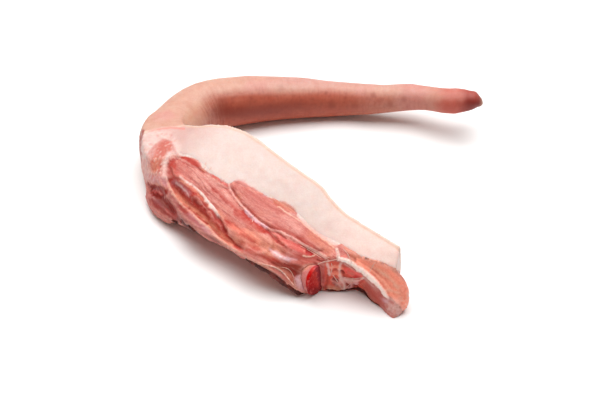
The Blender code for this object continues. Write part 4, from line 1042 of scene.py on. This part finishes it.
# ==== The loose shreds =============================================================================
# Bits that the knife left: pale threads of fascia that cross the hollows, and ragged meat that hangs
# under the trimmed lip, dark with painted shade of the underside. Each one grows out of the lean and keeps
# hold of it.
THREAD_COLOUR, SHRED_COLOUR, SHRED_SHADE_COLOUR = "EBB9AA", "8E3224", "4E150E"
THREAD_SINK = 0.6             # how deep a thread's middle lies in what carries it, in radii
THREADS = {  # radius in mm, route in photo pixels
    "ridge's thread": (0.4, [
        (316, 265.5), (319, 263.5), (323.5, 262), (328.3, 261), (333, 260), (339, 258.8)]),
    "thread of the hollow": (0.32, [(343.6, 277), (349, 278.4), (355, 278.6), (360, 278), (364.5, 277.6)]),
    "web's long strand": (0.36, [(331, 262), (332.6, 267), (331, 272), (334.5, 277), (338, 282), (342, 289)]),
    "web's short strand": (0.24, [(353, 279), (350.5, 284), (345.5, 288), (342.4, 291)]),
    "strap by the window": (0.44, [(336.5, 248), (338, 253), (338.2, 258.8)]),
    "strap beyond it": (0.32, [(343, 248.6), (347.5, 253.4), (349.5, 258), (352, 263)]),
    "thread on the tongue": (0.32, [(375, 262.6), (372.8, 265.6), (371, 270), (368.6, 273)]),
    "fibre 1": (0.26, [(298, 242), (306, 246.8), (315, 252), (323.5, 257.4), (329, 259.6)]),
    "fibre 2": (0.22, [(300, 245.8), (308, 249.6), (316, 254.6), (322, 258.4)]),
    "fibre 3": (0.2, [(305, 247.6), (312, 250), (320, 254), (328, 257.6), (335, 259)]),
    "fringe of the lip": (0.4, [
        (256, 262), (264, 264.6), (273, 266.4), (280, 269.6), (285.6, 275), (290, 281), (296, 287.6)]),
    "fringe above it": (0.28, [
        (276, 267.4), (284, 267), (290, 269.6), (293.6, 276), (294.6, 283), (297, 289)]),
    "curled thread": (0.24, [(253.6, 214.6), (252.2, 217), (253.2, 219.6), (252, 222.4)]),
}
SHREDS = {  # tallest half height and half thickness in mm, seed, route in photo pixels
    "under the lip": (2.4, 0.8, 31, [
        (246, 257), (256, 263), (264, 267), (272, 272), (280, 278), (288, 284), (296, 289.6), (303, 293.4)]),
    "under the bone": (1.6, 0.8, 32, [(308, 294), (316, 291.6), (322, 290), (330, 288.6), (337, 290)]),
    "under the ridge": (3.4, 1.0, 33, [
        (337, 290), (344, 289.4), (352, 287), (360, 287), (365, 290), (368, 296), (373, 301), (380, 305)]),
    "under the spongy part": (2.4, 1.0, 36, [
        (326, 288.4), (331, 289.6), (336, 291), (341.6, 291.6), (346, 289.4)]),
    "foot lump 1": (1.7, 1.5, 34, [(170, 216.6), (174.6, 219.4), (179, 221)]),
    "foot lump 2": (1.6, 1.4, 35, [(188.6, 223.6), (192, 226.6), (195.4, 229)]),
}
HIGHEST_SEARCH, SEARCH_STEP = 9, 0.5     # in pixels, to find the lean above a route's point
STRAND_SIDES = 8
THREAD_ENDS, SHRED_ENDS = 0.35, 0.3      # half thickness at the ends, as a share of the middle's
SHRED_CLEARANCE, SHRED_DROP, SHRED_INSET = 0.7, 0.7, 0.8

lean_tree = tree_of(lean.data)


def on_lean(pixel):
    """The point of the lean that shows at a photo pixel, or at the nearest one above that shows it."""
    for raised in np.arange(0, HIGHEST_SEARCH, SEARCH_STEP):
        aside = (pixel[0] - AIM_PIXEL[0]) * SENSOR_MM / LENS_MM / PHOTO_WIDTH
        upward = (AIM_PIXEL[1] - pixel[1] + raised) * SENSOR_MM / LENS_MM / PHOTO_WIDTH
        direction = LOOK_ALONG + upward * LOOK_UP + np.array((aside, 0, 0))
        spot = lean_tree.ray_cast(camera.location, Vector(direction))[0]
        if spot is not None:
            return np.array(spot)
    raise ValueError(f"no lean at {pixel}")


def route_on_lean(route, rounds):
    """A route's points on the lean, evened a little."""
    spots = np.array([on_lean(pixel) for pixel in smooth_route(route, rounds)])
    spots[1:-1] = (spots[:-2] + spots[1:-1] * 2 + spots[2:]) / 4
    return spots


def tapered(spots, ends, fullness):
    """A share for each spot of a strand: 1 in the middle, and ends at both ends."""
    return ends + (1 - ends) * np.sin(np.linspace(0, math.pi, len(spots))) ** fullness


def add_strand(shape, middles, tall, thick):
    """Adds a closed strand along the middles. Its section is an ellipse with those half sizes."""
    frames = []
    for middle, direction, half_tall, half_thick in zip(middles, np.gradient(middles, axis=0), tall, thick):
        forward = Vector(direction).normalized()
        side = forward.cross(Vector((0, 0, 1))).normalized()
        axes = Matrix((side * half_thick * MM, side.cross(forward) * half_tall * MM, forward * MM))
        frames.append(Matrix.Translation(middle) @ axes.transposed().to_4x4())
    ring = bmesh.ops.create_circle(
        shape, cap_ends=True, segments=STRAND_SIDES, radius=1.0, matrix=frames[0])["verts"]
    cap = ring[0].link_faces[0]
    for before, after in zip(frames[:-1], frames[1:]):
        grown = bmesh.ops.extrude_face_region(shape, geom=[cap])["geom"]
        cap = next(part for part in grown if isinstance(part, bmesh.types.BMFace))
        bmesh.ops.transform(shape, matrix=after @ before.inverted(), verts=cap.verts)


# Wet fascia and dark meat alike: grain about 1 mm across, and satin, as both are thin and half dry.
STRAND_DARK, STRAND_PALE = (0.8, 0.8, 0.8), (1.1, 1.1, 1.1)


def strands_piece(name, shape, colour_at):
    """A piece of all the strands in a bmesh, with the paint that colour_at gives for its places."""
    bmesh.ops.recalc_face_normals(shape, faces=shape.faces)
    mesh = bpy.data.meshes.new(name)
    shape.to_mesh(mesh)
    shape.free()
    mesh.shade_smooth()
    piece = new_object(name, mesh)
    keep_values(piece, paint=colour_at(points_of(piece)[0]))
    material, tree, shader = new_material(name.replace("_", " "))
    own = add(tree, "Attribute", attribute_name="paint").outputs["Vector"]
    object_place = add(tree, "TexCoord").outputs["Object"]
    grain = add(tree, "TexNoise", {"Vector": object_place, "Scale": 900.0, "Detail": 3.0}).outputs["Fac"]
    fill(tree, shader, {
        "Base Color": tinted(tree, own, grain, (0.3, 0.7), STRAND_DARK, STRAND_PALE),
        "Normal": fine_relief(tree, 0.4, 0.3, (grain, 1.0)), "Roughness": 0.4, "IOR": 1.4,
        "Specular IOR Level": 0.25,
        "Subsurface Weight": 0.2, "Subsurface Radius": (1.0, 0.3, 0.2), "Subsurface Scale": 1.0 * MM})
    piece.data.materials.append(material)
    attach(piece, "root")


def thread_paint(places):
    """Fascia, the same pale pink all over."""
    return one_colour(THREAD_COLOUR, places)


def shred_and_shade_paint(places):
    """Raw meat, dark with painted shade, with redder clouds."""
    clouds = soft_step(0.0, 0.6, ripple(places, 5 * MM, 41))
    return lay(one_colour(SHRED_SHADE_COLOUR, places), 0.6 * clouds, SHRED_COLOUR)


threads = bmesh.new()
for radius, route in THREADS.values():
    spots = route_on_lean(route, 2)
    thick = radius * (tapered(spots, THREAD_ENDS, 0.5) * (1 + 0.45 * ripple(spots, 2.5 * MM, 43)))
    add_strand(threads, spots + LOOK_ALONG * THREAD_SINK * radius * MM, thick, thick)
strands_piece("threads_of_fascia", threads, thread_paint)

shreds = bmesh.new()
for tallest, thickness, seed, route in SHREDS.values():
    spots = route_on_lean(route, 3)
    taper = tapered(spots, SHRED_ENDS, 0.4)
    tall = tallest * taper * (1 + 0.4 * ripple(spots, 5 * MM, seed) + 0.15 * ripple(spots, 2 * MM, seed + 1))
    tall = np.minimum(tall, spots[:, 2] / MM / 2 - SHRED_CLEARANCE)
    hanging = spots - np.array((0, 0, 1)) * (tall * SHRED_DROP * MM)[:, None]
    add_strand(shreds, hanging + LOOK_ALONG * thickness * SHRED_INSET * MM, tall, thickness * taper)
for vertex in shreds.verts:
    vertex.co.z = max(vertex.co.z, 0.0)              # the lowest shreds lie on the slab
strands_piece("shaded_hanging_shreds", shreds, shred_and_shade_paint)

# ==== The slab and the light =======================================================================
# A white laminate slab, with one big soft light high behind it and pale walls all round.
SLAB_SIZE, SLAB_COLOUR, SLAB_ROUGHNESS = 12.0, "F6F6F6", 0.6
KEY_ELEVATION, KEY_DISTANCE, KEY_SIZE, KEY_WATTS = math.radians(79), 1.6, 1.9, 46.0
ROOM_COLOUR, ROOM_BRIGHTNESS = "FFF6EE", 0.26

slab_mesh = bmesh.new()
bmesh.ops.create_grid(slab_mesh, x_segments=1, y_segments=1, size=SLAB_SIZE / 2)
mesh = bpy.data.meshes.new("slab")
slab_mesh.to_mesh(mesh)
slab_mesh.free()
slab = new_object("slab", mesh)
material, tree, shader = new_material("white laminate")
fill(tree, shader, {"Base Color": (*linear(SLAB_COLOUR), 1), "Roughness": SLAB_ROUGHNESS})
slab.data.materials.append(material)

key_data = bpy.data.lights.new("soft_key", "AREA")
key_data.energy, key_data.size = KEY_WATTS, KEY_SIZE
key = new_object("soft_key", key_data)
key.location = AIM + KEY_DISTANCE * Vector((0, math.cos(KEY_ELEVATION), math.sin(KEY_ELEVATION)))
key.rotation_euler = (key.location - AIM).to_track_quat("Z", "Y").to_euler()

world = bpy.data.worlds.new("pale_room")
world.use_nodes = True
fill(world.node_tree, world.node_tree.nodes["Background"], {
    "Color": (*linear(ROOM_COLOUR), 1), "Strength": ROOM_BRIGHTNESS})
bpy.context.scene.world = world
bpy.context.scene.view_settings.view_transform = "Standard"
